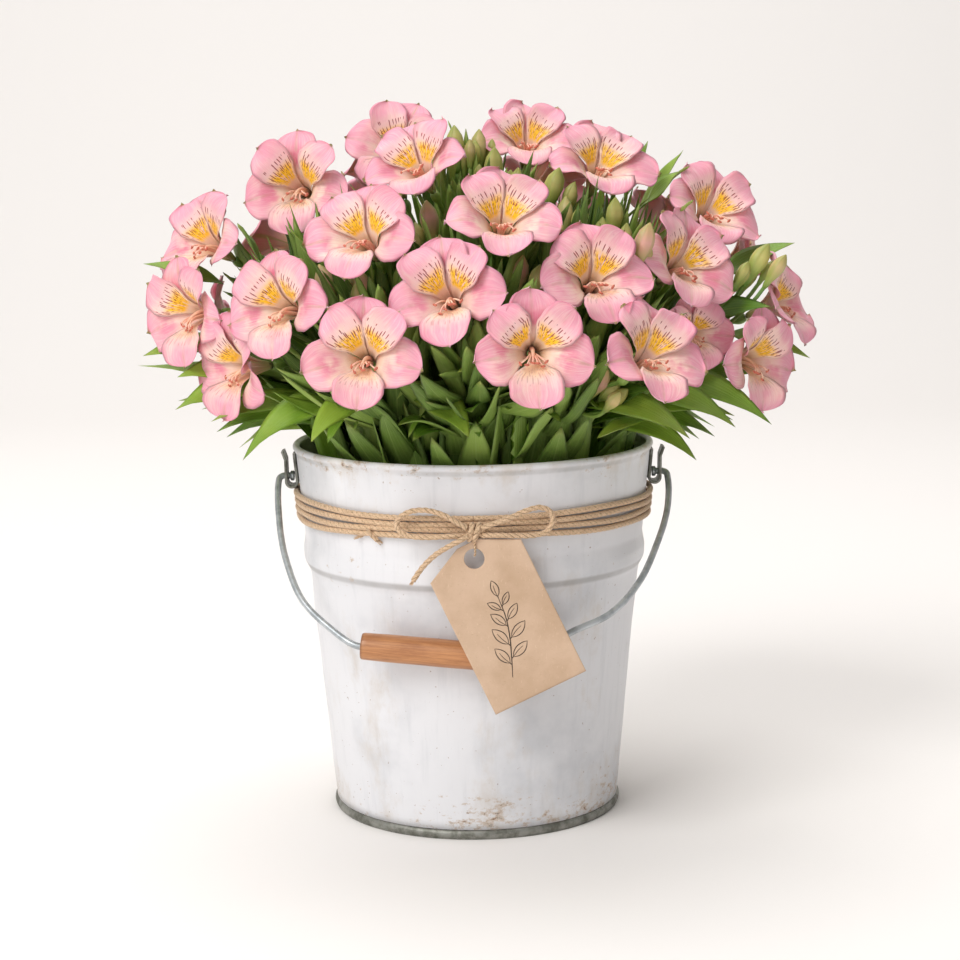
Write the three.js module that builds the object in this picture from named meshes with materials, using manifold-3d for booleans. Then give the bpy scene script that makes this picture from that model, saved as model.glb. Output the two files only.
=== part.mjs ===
// A bunch of pink alstroemerias standing in water in a small painted metal pail.
//
// Millimetres, +Z up. The origin is the centre of the circle that the pail stands on, the front is -Y and
// the bail hangs down in front. Compass angles run from the front (-Y) towards the right (+X).
// The pail carries two U-shaped ears, a wire bail with a turned wooden grip, four turns of jute twine
// tied in a bow, and a paper tag on a thread loop. Ten leafy stems stand in the water and carry the blooms.

import * as THREE from 'three';
import { mergeGeometries, mergeVertices } from 'three/addons/utils/BufferGeometryUtils.js';
import Module from 'manifold-3d';

const wasm = await Module();
wasm.setup();

// ---------------------------------------------------------------- driving dimensions

const CLEAR = 0.3; // gap between pieces that touch
const ROUND = 30; // facets round the pail

const PAIL = {
  height: 195.4,
  rimRadius: 95.0,
  rollRadius: 1.9,
  footRadius: 76.6,
  footHeight: 4.7,
  floorTop: 3.8,
  sheet: 1.0, // thickness of the sheet metal
};

// Outside of the wall from foot to rim: radius, height. The step at 129 to 140 is the pressed bead.
const WALL = [
  [75.5, 5.0],
  [82.5, 82.0],
  [85.4, 109.0],
  [86.5, 124.0],
  [87.3, 129.0],
  [90.2, 134.5],
  [90.4, 140.0],
  [89.2, 147.0],
  [93.3, 190.2],
];

const WATER_LEVEL = 95.0;

const EAR = { width: 12.0, strip: 1.5, bottom: 174.5, bend: 2.9, holeRadius: 2.4 };

const BAIL = {
  sides: 7,
  wireRadius: 1.7,
  pivotHeight: 177.0,
  restAngle: 50.0, // from straight down, forwards
  headRadius: 2.7,
  headLength: 2.2,
  headAt: 95.7, // middle of the upset head from the centre plane
};

// Route of the bail wire: sideways place and distance from the pivot line, in the plane of the bail.
const BAIL_LEFT = [
  [-96.0, 0.0],
  [-100.2, 0.0],
  [-102.3, 1.4],
  [-102.9, 5.0],
  [-102.8, 14.0],
  [-101.8, 26.0],
  [-99.8, 42.0],
  [-96.4, 58.0],
  [-87.0, 84.0],
  [-72.1, 102.2],
];
const BAIL_RIGHT = [
  [31.5, 118.6],
  [46.6, 107.0],
  [68.0, 94.8],
  [83.8, 74.5],
  [95.6, 46.0],
  [100.6, 29.0],
  [102.7, 14.0],
  [102.8, 5.0],
  [102.3, 1.4],
  [100.2, 0.0],
  [96.0, 0.0],
];

const GRIP = { radius: 7.0, length: 76.0, bore: 2.4, middle: [-18.8, 117.8], slope: 7.2, edge: 1.2 };

const TWINE = { radius: 1.55, turns: 4, middle: 164.5, pitch: 3.1, seat: CLEAR };
const KNOT = { radius: 3.6, at: new THREE.Vector3(0, -97.4, 163.0) };
const BOW_RADIUS = 1.4;

const BOW_LEFT = [
  [-3.6, -98.6, 165.2],
  [-8.5, -99.2, 168.4],
  [-15.5, -98.6, 172.2],
  [-24.0, -96.8, 174.1],
  [-32.0, -94.6, 172.8],
  [-37.2, -93.0, 168.6],
  [-37.4, -93.2, 164.6],
  [-33.2, -94.9, 161.6],
  [-25.5, -97.4, 160.8],
  [-16.0, -98.9, 161.2],
  [-9.0, -99.0, 161.5],
  [-3.9, -97.9, 161.2],
];
const BOW_RIGHT = [
  [3.6, -98.6, 165.2],
  [9.0, -99.2, 167.2],
  [17.0, -98.6, 169.8],
  [25.5, -96.9, 173.2],
  [32.6, -94.8, 174.4],
  [37.6, -93.2, 171.8],
  [38.6, -92.9, 167.0],
  [36.0, -93.6, 162.6],
  [30.5, -95.4, 160.9],
  [21.5, -97.6, 161.0],
  [12.5, -98.9, 161.6],
  [3.9, -98.0, 161.5],
];
const BOW_TAIL = [
  [-3.0, -100.6, 161.6],
  [-7.0, -101.6, 159.6],
  [-11.5, -101.0, 157.2],
  [-18.3, -99.2, 152.8],
  [-23.6, -97.8, 147.9],
  [-27.2, -97.0, 143.4],
  [-30.1, -96.8, 139.0],
];

const TAG = {
  width: 49.4,
  below: 74.0, // from the hole down to the lower edge
  above: 8.0, // from the hole up to the top edge
  topHalf: 5.5, // half of the flat between the clipped corners
  shoulder: -1.5, // height of the clipped corners' lower ends from the hole
  thickness: 0.8,
  holeRadius: 5.0,
  drop: 13.0, // from the knot down to the hole
  tilt: 25.5, // turned in its own plane
  lean: 3.7, // lower end held out by the grip
};
const TAG_STRING_RADIUS = 0.6;

// ---------------------------------------------------------------- plant dimensions

const BLOOM = {
  depth: 24.0, // from the base of the funnel to the mouth
  outer: {
    angles: [90, 192, 348],
    reach: 29.0,
    lift: 4.0,
    keel: 0.06,
    widths: [[0.42, 6.4], [0.6, 20.0], [0.8, 27.0], [0.94, 18.0]], // share of the length, width there
  },
  inner: {
    angles: [48, 132, 270],
    reach: 27.0,
    lift: 7.0,
    keel: 0.09,
    widths: [[0.44, 5.4], [0.68, 18.0], [0.88, 20.0]],
  },
  flare: [0.05, 0.25, 0.7], // distance from the axis along a tepal: constant, linear, squared share
  arching: 2.2, // power by which a tepal's rise eases off towards its tip
  thickness: 1.1,
  throat: 9.0, // from the floor of the throat to the mouth
  throatRadius: 6.2,
  stamens: {
    route: [[0, -10.5], [2.5, -2], [5, 4.5]], // distance below the axis, height over the seat
    radii: [[0, 1.5], [1, 1.1]],
  },
};

// Blooms of the front and the sides: seat x, y, z, then the compass and the height that it looks
// towards, its turn round its own axis, all in degrees, and its size.
const FRONT_BLOOMS = [
  { seat: [-26, -53, 340], aim: [-29, 41], turn: 20, size: 0.95, stem: 'centre' },
  { seat: [-89, -10, 329], aim: [-17, 17], turn: 2, size: 1.0, stem: 'left' },
  { seat: [-52, -85, 307], aim: [-22, 35], turn: 2, size: 1.0, stem: 'front_left' },
  { seat: [-138, -6, 301], aim: [-60, 27], turn: 8, size: 1.0, stem: 'left' },
  { seat: [-144, -34, 266], aim: [-51, 0], turn: 12, size: 1.0, stem: 'left' },
  { seat: [-93, -86, 273], aim: [-37, 15], turn: 10, size: 1.0, stem: 'front_left' },
  { seat: [-51, -122, 252], aim: [-9, 16], turn: -1, size: 1.0, stem: 'front_left' },
  { seat: [-118, -56, 240], aim: [-60, -2], turn: -8, size: 0.96, stem: 'left' },
  { seat: [-11, -112, 280], aim: [-13, 26], turn: 8, size: 1.0, stem: 'front' },
  { seat: [16, -89, 314], aim: [8, 42], turn: -5, size: 1.0, stem: 'front' },
  { seat: [29, -135, 255], aim: [3, 8], turn: 0, size: 0.98, stem: 'front' },
  { seat: [60, -94, 286], aim: [14, 32], turn: 4, size: 1.0, stem: 'front_right' },
  { seat: [86, -113, 250], aim: [36, 32], turn: -12, size: 1.0, stem: 'front_right' },
  { seat: [107, -52, 289], aim: [38, 27], turn: -22, size: 1.0, stem: 'right' },
  { seat: [68, -12, 338], aim: [24, 46], turn: -12, size: 1.0, stem: 'centre' },
  { seat: [31, 13, 351], aim: [9, 50], turn: -5, size: 0.92, stem: 'centre' },
  { seat: [126, -2, 314], aim: [33, 36], turn: -24, size: 1.0, stem: 'right' },
  { seat: [145, -39, 239], aim: [43, 1], turn: -7, size: 0.96, stem: 'right' },
  { seat: [162, -8, 266], aim: [76, 22], turn: -10, size: 0.94, stem: 'right' },
  { seat: [112, -50, 254], aim: [20, 4], turn: 10, size: 0.72, stem: 'right' },
  { seat: [-38, 8, 347], aim: [-14, 30], turn: -24, size: 0.95, stem: 'centre' },
  { seat: [148, 24, 290], aim: [74, 28], turn: 0, size: 0.8, stem: 'right_back' },
];

// Blooms of the back, in three rings: ring radius, height, upward look and the compass of each bloom.
const BACK_RINGS = [
  { radius: 136, height: 250, look: 4, at: [[-98, 'back_left'], [-124, 'back_left'], [-150, 'back'],
    [-176, 'back'], [158, 'back_right'], [132, 'back_right'], [108, 'right_back']] },
  { radius: 110, height: 300, look: 26, at: [[-110, 'back_left'], [-145, 'back'], [180, 'back'],
    [145, 'back_right'], [114, 'right_back']] },
  { radius: 66, height: 334, look: 54, at: [[-142, 'centre'], [142, 'centre']] },
];

const STEM = {
  radius: 2.5,
  taper: 0.15,
  sides: 6,
  cutEnd: 4.2,
  route: [[30, 4.2], [42, 110], [50, 190], [64, 230]], // distance from the pail's axis, height
  centre: [[0, 0, 4.2], [2, 1, 110], [0, 2, 195], [0, 4, 262]],
  umbel: 0.985, // share of the length at which the rays part
};
const RAY = { radius: 1.2, sides: 3, bend: 0.35, rise: 0.5, ovary: 2.8, ovaryLength: 5.0 };
const BUD = {
  length: 25.0,
  sides: 5,
  sink: 2.0, // of its base into its stalk
  rise: 0.8,
  bend: 0.4,
  radii: [[0, 1.6], [0.5, 5.0], [0.85, 3.2], [1, 0.8]], // share of the length, radius there
};

// Leafy stems: the compass that each one leans to, the width of the sector that it fills, its spirals
// of leaves and the seed of their draws.
const STEMS = [
  { name: 'front_left', compass: -36, sector: 40, leaves: ['rim', 'whorl'], seed: 6 },
  { name: 'front', compass: 3, sector: 38, leaves: ['rim', 'whorl'], seed: 22 },
  { name: 'front_right', compass: 41, sector: 36, leaves: ['rim', 'whorl'], seed: 35 },
  { name: 'right', compass: 76, sector: 32, leaves: ['edge', 'skirt', 'whorl'], seed: 5 },
  { name: 'right_back', compass: 107, sector: 32, leaves: ['skirt', 'whorl'], seed: 5 },
  { name: 'back_right', compass: 143, sector: 40, leaves: ['cape', 'whorl'], seed: 26 },
  { name: 'back', compass: -168, sector: 46, leaves: ['cape', 'whorl'], seed: 22 },
  { name: 'back_left', compass: -120, sector: 44, leaves: ['cape', 'whorl'], seed: 19 },
  { name: 'left', compass: -79, sector: 40, leaves: ['edge', 'skirt', 'whorl'], seed: 5 },
  { name: 'centre', compass: 0, sector: 360, leaves: ['heart', 'crown'], seed: 8 },
];

// Leaves climb a stem in a spiral. From the lowest leaf to the highest of one spiral: the height at
// which it leaves the stem, how far its tip reaches from the pail's axis and how high, how far its
// middle stands over the straight line, its width, and how far the blade is turned to face sideways.
const SPIRALS = {
  rim: {
    count: 7,
    root: [160, 194],
    reach: [93, 88],
    height: [210, 244],
    arch: [-12, -6],
    width: [20, 18],
    bank: 6,
  },
  edge: {
    count: 3,
    root: [172, 190],
    reach: [93, 90],
    height: [206, 216],
    arch: [-8, -4],
    width: [20, 18],
    bank: 20,
  },
  skirt: {
    count: 8,
    root: [199, 222],
    reach: [124, 177],
    height: [190, 248],
    arch: [26, 5],
    width: [16, 14],
    bank: 50,
  },
  cape: {
    count: 8,
    root: [199, 222],
    reach: [118, 145],
    height: [190, 240],
    arch: [26, 5],
    width: [16, 14],
    bank: 40,
  },
  whorl: {
    count: 3,
    root: [196, 208],
    reach: [60, 48],
    height: [262, 296],
    arch: [-4, 0],
    width: [20, 18],
    bank: 10,
  },
  heart: {
    count: 6,
    root: [178, 222],
    reach: [46, 30],
    height: [250, 300],
    arch: [-10, -4],
    width: [22, 20],
    bank: 0,
  },
  crown: {
    count: 6,
    root: [236, 256],
    reach: [58, 26],
    height: [312, 340],
    arch: [-6, 0],
    width: [14, 12],
    bank: 20,
  },
};
const LEAF = {
  keel: 0.09, // height of the keel as a share of the width
  thickness: 1.0,
  widths: [[0, 0.08], [0.3, 0.88], [0.62, 0.92]], // share of the length, share of the width there
  probes: [0.2, 0.35, 0.5, 0.65, 0.8, 0.9, 1], // where a leaf is held clear of the blooms
  tries: 80,
  margin: 3.5,
  side: 5.0, // free angle at each side of a stem's sector
  spiral: 0.382, // turn from one leaf to the next, in sectors
};

// Buds between the blooms: the middle of each and the stem that carries it.
const BUDS = [
  { at: [-7, -10, 348], stem: 'centre' },
  { at: [5, -2, 347], stem: 'centre' },
  { at: [12, -12, 336], stem: 'centre' },
  { at: [-20, -44, 311], stem: 'front' },
  { at: [42, -30, 326], stem: 'centre' },
  { at: [48, -38, 313], stem: 'front_right' },
  { at: [72, -44, 312], stem: 'right' },
  { at: [84, -78, 300], stem: 'front_right' },
  { at: [24, -70, 286], stem: 'front' },
  { at: [-54, -62, 279], stem: 'front_left' },
  { at: [-72, -50, 280], stem: 'front_left' },
  { at: [62, -84, 234], stem: 'front_right' },
  { at: [146, -30, 288], stem: 'right' },
];

const COLOURS = {
  paint: { color: '#d9d8d4', roughness: 0.55, metalness: 0.15 },
  zinc: { color: '#8f8c80', roughness: 0.5, metalness: 0.8 },
  wire: { color: '#7f868b', roughness: 0.35, metalness: 0.9 },
  wood: { color: '#a9612f', roughness: 0.5, metalness: 0 },
  twine: { color: '#bd9566', roughness: 0.95, metalness: 0 },
  kraft: { color: '#d3ad86', roughness: 0.9, metalness: 0 },
  water: { color: '#cfdfdc', roughness: 0.05, metalness: 0 },
  petal: { color: '#f0a7bd', roughness: 0.6, metalness: 0 },
  leaf: { color: '#5c8a2f', roughness: 0.55, metalness: 0 },
};

// ---------------------------------------------------------------- small tools

const bouquet = new THREE.Group();

/** Adds a named piece with its finish to the group. */
function addPiece(name, geometry, finish) {
  const mesh = new THREE.Mesh(geometry, new THREE.MeshStandardMaterial(COLOURS[finish]));
  mesh.name = name;
  bouquet.add(mesh);
  return mesh;
}

/** A seeded run of draws between 0 and 1. */
class Draws {
  constructor(seed) {
    this.state = seed >>> 0;
  }

  next() {
    this.state = (Math.imul(this.state, 1664525) + 1013904223) >>> 0;
    return this.state / 4294967296;
  }

  between(low, high) {
    return low + (high - low) * this.next();
  }
}

const rad = THREE.MathUtils.degToRad;

/** A point from its compass angle in degrees, distance from the pail's axis and height. */
function polar(compass, radius, height) {
  return new THREE.Vector3(radius * Math.sin(rad(compass)), -radius * Math.cos(rad(compass)), height);
}

/** Turns a geometry into a solid that can be joined and cut. */
function toSolid(geometry) {
  const bare = geometry.clone();
  bare.deleteAttribute('normal');
  bare.deleteAttribute('uv');
  const merged = mergeVertices(bare, 1e-4);
  const vertProperties = new Float32Array(merged.attributes.position.array);
  const triVerts = new Uint32Array(merged.index.array);
  return new wasm.Manifold(new wasm.Mesh({ numProp: 3, vertProperties, triVerts }));
}

/** Turns a solid back into a geometry. */
function toGeometry(solid) {
  const mesh = solid.getMesh();
  const geometry = new THREE.BufferGeometry();
  geometry.setAttribute('position', new THREE.BufferAttribute(new Float32Array(mesh.vertProperties), 3));
  geometry.setIndex(new THREE.BufferAttribute(new Uint32Array(mesh.triVerts), 1));
  geometry.computeVertexNormals();
  return geometry;
}

/** Joins geometries into one. */
function fuse(geometries) {
  return toGeometry(geometries.map(toSolid).reduce((whole, part) => whole.add(part)));
}

/** Cuts geometries out of a body. */
function cut(body, tools) {
  return toGeometry(tools.map(toSolid).reduce((whole, tool) => whole.subtract(tool), toSolid(body)));
}

/** A closed solid of revolution about Z from radius, height points, outer side upwards. */
function turned(profile, facets = ROUND) {
  const points = profile.map(([radius, height]) => new THREE.Vector2(radius, height));
  return new THREE.LatheGeometry(points, facets).rotateX(Math.PI / 2);
}

/**
 * A body through rings of points, each ring counterclockwise seen from the far end, closed by a
 * point or by a flat end. An open one has no face on its first ring.
 */
function loft(rings, tip, open = false) {
  const count = rings[0].length;
  const points = rings.flat();
  const faces = [];
  for (let ring = 0; ring + 1 < rings.length; ring += 1) {
    for (let side = 0; side < count; side += 1) {
      const a = ring * count + side;
      const b = ring * count + ((side + 1) % count);
      const c = b + count;
      const d = a + count;
      if (side === count - 1) faces.push(a, b, d, b, c, d);
      else faces.push(a, b, c, a, c, d);
    }
  }
  const last = (rings.length - 1) * count;
  for (let side = 1; side + 1 < count; side += 1) {
    if (!open) faces.push(0, side + 1, side);
    if (!tip) faces.push(last, last + side, last + side + 1);
  }
  if (tip) {
    points.push(tip);
    for (let side = 0; side < count; side += 1) {
      faces.push(last + side, last + ((side + 1) % count), points.length - 1);
    }
  }
  const geometry = new THREE.BufferGeometry().setFromPoints(points);
  geometry.setIndex(faces);
  return geometry;
}

/** A round rod along a curve with a radius for each share of its length, begun early by overrun. */
function rod(curve, radii, sides, overrun = 0) {
  let side = new THREE.Vector3(0.31, 0.95, 0.11);
  const rings = radii.map(([share, radius], index) => {
    const along = curve.getTangent(share);
    const centre = curve.getPoint(share).addScaledVector(along, index === 0 ? -overrun : 0);
    side = side.clone().addScaledVector(along, -side.dot(along)).normalize();
    const other = along.clone().cross(side);
    return Array.from({ length: sides }, (_, step) => {
      const angle = (2 * Math.PI * step) / sides;
      return centre
        .clone()
        .addScaledVector(side, radius * Math.cos(angle))
        .addScaledVector(other, radius * Math.sin(angle));
    });
  });
  return loft(rings);
}

/** The section of a keeled blade: its right edge, its left edge and the rib under them. */
function bladeRing(centre, across, normal, width, keel) {
  const at = (side, up) => centre.clone().addScaledVector(across, side).addScaledVector(normal, up);
  return [at(width / 2, keel / 2), at(-width / 2, keel / 2), at(0, -keel / 2)];
}

/** A cord of round section along a smooth route. */
function cord(route, radius, steps) {
  const path = new THREE.CatmullRomCurve3(route.map((point) => new THREE.Vector3(...point)));
  const section = new THREE.Shape();
  section.absarc(0, 0, radius, 0, 2 * Math.PI, false);
  const options = { steps, curveSegments: 4, extrudePath: path, bevelEnabled: false };
  return new THREE.ExtrudeGeometry(section, options);
}

// ---------------------------------------------------------------- pail

/** Outer radius of the wall at a height. */
function wallRadius(height) {
  const above = WALL.findIndex(([, level]) => level >= height);
  if (above < 1) return WALL[0][0];
  const [lowRadius, low] = WALL[above - 1];
  const [highRadius, high] = WALL[above];
  return lowRadius + ((highRadius - lowRadius) * (height - low)) / (high - low);
}

/** The wall with its bead and its rolled rim. */
function makeWall() {
  const centre = [PAIL.rimRadius - PAIL.rollRadius, PAIL.height - PAIL.rollRadius];
  const roll = [-30, 15, 60, 105, 150, 195].map((angle) => [
    centre[0] + PAIL.rollRadius * Math.cos(rad(angle)),
    centre[1] + PAIL.rollRadius * Math.sin(rad(angle)),
  ]);
  const insideLevels = [147, 124, 82, 5];
  const inside = insideLevels.map((level) => [wallRadius(level) - PAIL.sheet, level]);
  const outside = WALL;
  const profile = [...outside, ...roll, ...inside, outside[0]];
  return turned(profile);
}

/** The floor with the foot ring folded round its edge. */
function makeFloor() {
  const foot = PAIL.footRadius;
  return turned([
    [0, PAIL.floorTop - PAIL.sheet],
    [foot - 4.0, PAIL.floorTop - PAIL.sheet],
    [foot - 3.2, 0],
    [foot - 0.8, 0],
    [foot, 1.2],
    [foot, PAIL.footHeight - 0.9],
    [foot - 0.8, PAIL.footHeight],
    [foot - 3.0, PAIL.footHeight],
    [foot - 4.0, PAIL.floorTop],
    [0, PAIL.floorTop],
  ]);
}

/** A U-shaped strip on the wall, with a hole for the bail in its outer leg. side is 1 or -1. */
function makeEar(side) {
  const half = EAR.strip / 2;
  const seat = CLEAR + half;
  const inner = wallRadius(EAR.bottom) + seat;
  const centre = inner + EAR.bend;
  const spine = [[wallRadius(189.5) + seat, 189.5]];
  for (let angle = 180; angle <= 360; angle += 30) {
    spine.push([centre + EAR.bend * Math.cos(rad(angle)), EAR.bottom + EAR.bend * Math.sin(rad(angle))]);
  }
  spine.push([centre + EAR.bend + 0.2, 186.0], [centre + EAR.bend + 1.8, 190.5]);
  const offset = (distance) => spine.map((point, index) => {
    const before = spine[Math.max(index - 1, 0)];
    const after = spine[Math.min(index + 1, spine.length - 1)];
    const length = Math.hypot(after[0] - before[0], after[1] - before[1]);
    const normal = [(after[1] - before[1]) / length, -(after[0] - before[0]) / length];
    return new THREE.Vector2(point[0] + normal[0] * distance, point[1] + normal[1] * distance);
  });
  const outline = new THREE.Shape([...offset(half), ...offset(-half).reverse()]);
  const strip = new THREE.ExtrudeGeometry(outline, { depth: EAR.width, bevelEnabled: false });
  strip.rotateX(Math.PI / 2).translate(0, EAR.width / 2, 0);
  const drill = new THREE.CylinderGeometry(EAR.holeRadius, EAR.holeRadius, 6, 10).rotateZ(Math.PI / 2);
  drill.translate(centre + EAR.bend, 0, BAIL.pivotHeight);
  const ear = cut(strip, [drill]);
  return side > 0 ? ear : ear.rotateZ(Math.PI);
}

/** The water, with a plain hole for each stem. */
function makeWater(stemRoutes) {
  const low = PAIL.floorTop + CLEAR;
  const edge = PAIL.sheet + 0.5;
  const body = turned([
    [0, low],
    [PAIL.footRadius - 4.4, low],
    [wallRadius(7) - edge, 7],
    [wallRadius(82) - edge, 82],
    [wallRadius(WATER_LEVEL) - edge, WATER_LEVEL],
    [0, WATER_LEVEL],
  ]);
  const holes = stemRoutes.map((route) => rod(route, stemRadii(CLEAR), STEM.sides, STEM.cutEnd));
  return cut(body, holes);
}

// ---------------------------------------------------------------- bail, twine and tag

/** A point of the bail at rest from its sideways place and its distance from the pivot line. */
function onBail(sideways, distance) {
  const angle = rad(BAIL.restAngle);
  return new THREE.Vector3(
    sideways,
    -distance * Math.sin(angle),
    BAIL.pivotHeight - distance * Math.cos(angle),
  );
}

/** A point on the grip's axis, measured from its middle. */
function onGrip(along) {
  const slope = rad(GRIP.slope);
  return onBail(GRIP.middle[0] + along * Math.cos(slope), GRIP.middle[1] + along * Math.sin(slope));
}

/** The wire from head to head, straight through the grip. */
function makeBail() {
  const half = GRIP.length / 2;
  const route = [
    ...BAIL_LEFT.map(([sideways, distance]) => onBail(sideways, distance)),
    ...[-half - 3, -half + 6, 0, half - 6, half + 3].map(onGrip),
    ...BAIL_RIGHT.map(([sideways, distance]) => onBail(sideways, distance)),
  ];
  const rings = 2 * route.length - 1;
  const radii = Array.from({ length: rings }, (_, ring) => [ring / (rings - 1), BAIL.wireRadius]);
  const wire = rod(new THREE.CatmullRomCurve3(route), radii, BAIL.sides);
  const heads = [-1, 1].map((side) => {
    const head = new THREE.CylinderGeometry(BAIL.headRadius, BAIL.headRadius, BAIL.headLength, 8);
    return head.rotateZ(Math.PI / 2).translate(side * BAIL.headAt, 0, BAIL.pivotHeight);
  });
  return fuse([wire, ...heads]);
}

/** The turned wooden grip, bored for the wire. */
function makeGrip() {
  const half = GRIP.length / 2;
  const { radius, bore, edge } = GRIP;
  const grip = turned(
    [
      [bore, -half],
      [radius - edge, -half],
      [radius, -half + edge],
      [radius, half - edge],
      [radius - edge, half],
      [bore, half],
      [bore, -half],
    ],
    16,
  );
  const along = onGrip(1).sub(onGrip(0)).normalize();
  const turn = new THREE.Quaternion().setFromUnitVectors(new THREE.Vector3(0, 0, 1), along);
  const middle = onGrip(0);
  return grip.applyQuaternion(turn).translate(middle.x, middle.y, middle.z);
}

/** Four turns of twine round the pail, with the knot of the bow in front. */
function makeTwine() {
  const { radius, turns, middle, pitch } = TWINE;
  const bottom = middle - (turns * pitch) / 2;
  const outer = [];
  for (let turn = 0; turn < turns; turn += 1) {
    const level = bottom + turn * pitch;
    const crest = wallRadius(level + pitch / 2) + TWINE.seat + 2 * radius;
    outer.push([crest - 0.8 * radius, level], [crest, level + pitch / 2]);
  }
  const top = bottom + turns * pitch;
  outer.push([wallRadius(top) + TWINE.seat + 1.2 * radius, top]);
  const inner = [[wallRadius(top) + TWINE.seat, top], [wallRadius(bottom) + TWINE.seat, bottom]];
  const wrap = turned([...outer, ...inner, outer[0]]);
  const knot = new THREE.SphereGeometry(KNOT.radius, 8, 6).rotateX(Math.PI / 2);
  knot.translate(KNOT.at.x, KNOT.at.y, KNOT.at.z);
  return fuse([wrap, knot]);
}

/** Lays a piece drawn round the tag's hole, x across, y up, z forwards, on the knot at rest. */
function hangFromKnot(geometry) {
  return geometry
    .rotateZ(rad(TAG.tilt))
    .rotateX(Math.PI / 2)
    .translate(0, 0, -TAG.drop)
    .rotateX(-rad(TAG.lean))
    .translate(KNOT.at.x, KNOT.at.y, KNOT.at.z);
}

/** The paper tag with clipped upper corners and a round hole. */
function makeTag() {
  const half = TAG.width / 2;
  const outline = new THREE.Shape([
    new THREE.Vector2(-half, -TAG.below),
    new THREE.Vector2(half, -TAG.below),
    new THREE.Vector2(half, TAG.shoulder),
    new THREE.Vector2(TAG.topHalf, TAG.above),
    new THREE.Vector2(-TAG.topHalf, TAG.above),
    new THREE.Vector2(-half, TAG.shoulder),
  ]);
  const hole = new THREE.Path();
  hole.absarc(0, 0, TAG.holeRadius, 0, 2 * Math.PI, true);
  outline.holes.push(hole);
  const sheet = { depth: TAG.thickness, bevelEnabled: false, curveSegments: 8 };
  return hangFromKnot(new THREE.ExtrudeGeometry(outline, sheet).translate(0, 0, -TAG.thickness / 2));
}

/** The thread loop that holds the tag: down in front of its edge, through the hole and up behind. */
function makeTagString() {
  const front = TAG.thickness / 2 + TAG_STRING_RADIUS + 0.35;
  const up = TAG.drop - KNOT.radius - CLEAR;
  const half = [[0.2, 1.6, 0], [0.5, 2.7, front * 0.8], [0.4, 5.5, front], [0.2, up - 0.4, front * 0.8]];
  const back = half.slice(1).map(([x, y, z]) => [x, y, -z]).reverse();
  const route = [...back, ...half].map(([x, y, z]) => {
    const point = new THREE.Vector3(x, y, z);
    return point.applyAxisAngle(new THREE.Vector3(0, 0, 1), -rad(TAG.tilt)).toArray();
  });
  return hangFromKnot(cord(route, TAG_STRING_RADIUS, 14));
}

// ---------------------------------------------------------------- blooms

/** Place and directions of a bloom: right and up as seen by someone whom it faces. */
function bloomFrame({ seat, aim, turn, size }) {
  const [compass, height] = aim.map(rad);
  const facing = new THREE.Vector3(
    Math.sin(compass) * Math.cos(height),
    -Math.cos(compass) * Math.cos(height),
    Math.sin(height),
  );
  const up = new THREE.Vector3(0, 0, 1).addScaledVector(facing, -Math.sin(height)).normalize();
  const right = up.clone().cross(facing);
  const centre = new THREE.Vector3(...seat);
  return { centre, facing, up, right, turn, size };
}

/** Distance from the bloom's axis and height over its seat, along a tepal. */
function tepalLine(kind, share) {
  const [constant, linear, squared] = BLOOM.flare;
  const radial = kind.reach * (constant + linear * share + squared * share * share);
  const rise = (BLOOM.depth + kind.lift) * (1 - (1 - share) ** BLOOM.arching);
  return [radial, rise - BLOOM.depth];
}

/** A direction square to the way that a bloom faces, from its angle round the bloom's axis. */
function sideways(frame, angle) {
  const turned = rad(angle + frame.turn);
  return frame.right.clone().multiplyScalar(Math.cos(turned)).addScaledVector(frame.up, Math.sin(turned));
}

/** A point of a bloom from its angle and distance round the axis and its height over the mouth. */
function inBloom(frame, angle, radius, height) {
  return frame.centre
    .clone()
    .addScaledVector(sideways(frame, angle), radius * frame.size)
    .addScaledVector(frame.facing, height * frame.size);
}

/** One tepal as a keeled blade that grows out of a side of the funnel, root being that side. */
function makeTepal(frame, kind, angle, root) {
  const place = (share) => inBloom(frame, angle, ...tepalLine(kind, share));
  const rings = kind.widths.map(([share, breadth]) => {
    const along = place(share + 0.02).sub(place(share - 0.02)).normalize();
    const across = frame.facing.clone().cross(sideways(frame, angle));
    const normal = along.clone().cross(across);
    const width = breadth * frame.size;
    return bladeRing(place(share), across, normal, width, Math.max(width * kind.keel, BLOOM.thickness));
  });
  return loft([root, ...rings], place(1), true);
}

/** A whole bloom: the funnel, six tepals in two layers that grow out of it, and the stamens. */
function makeBloom(bloom) {
  const frame = bloomFrame(bloom);
  const kinds = [BLOOM.outer, BLOOM.inner];
  const tepals = kinds.flatMap((kind) => kind.angles.map((angle) => ({ kind, angle })));
  tepals.sort((one, other) => one.angle - other.angle);
  const base = inBloom(frame, 0, 0, -BLOOM.depth);
  const corners = tepals.map(({ angle }, index) => {
    const before = index === 0 ? tepals.at(-1).angle - 360 : tepals[index - 1].angle;
    return inBloom(frame, (before + angle) / 2, BLOOM.throatRadius, -BLOOM.throat);
  });
  const blades = tepals.map(({ kind, angle }, index) => {
    const next = corners[(index + 1) % corners.length];
    return makeTepal(frame, kind, angle, [next, corners[index], base]).toNonIndexed();
  });
  const floor = new THREE.BufferGeometry().setFromPoints(
    corners.slice(2).flatMap((corner, index) => [corners[0], corners[index + 1], corner]),
  );
  const { route, radii } = BLOOM.stamens;
  const points = route.map(([radius, height]) => inBloom(frame, 270, radius, height));
  const stamens = rod(new THREE.QuadraticBezierCurve3(...points), radii, 3);
  return fuse([mergeGeometries([...blades, floor]), stamens]);
}

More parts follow.
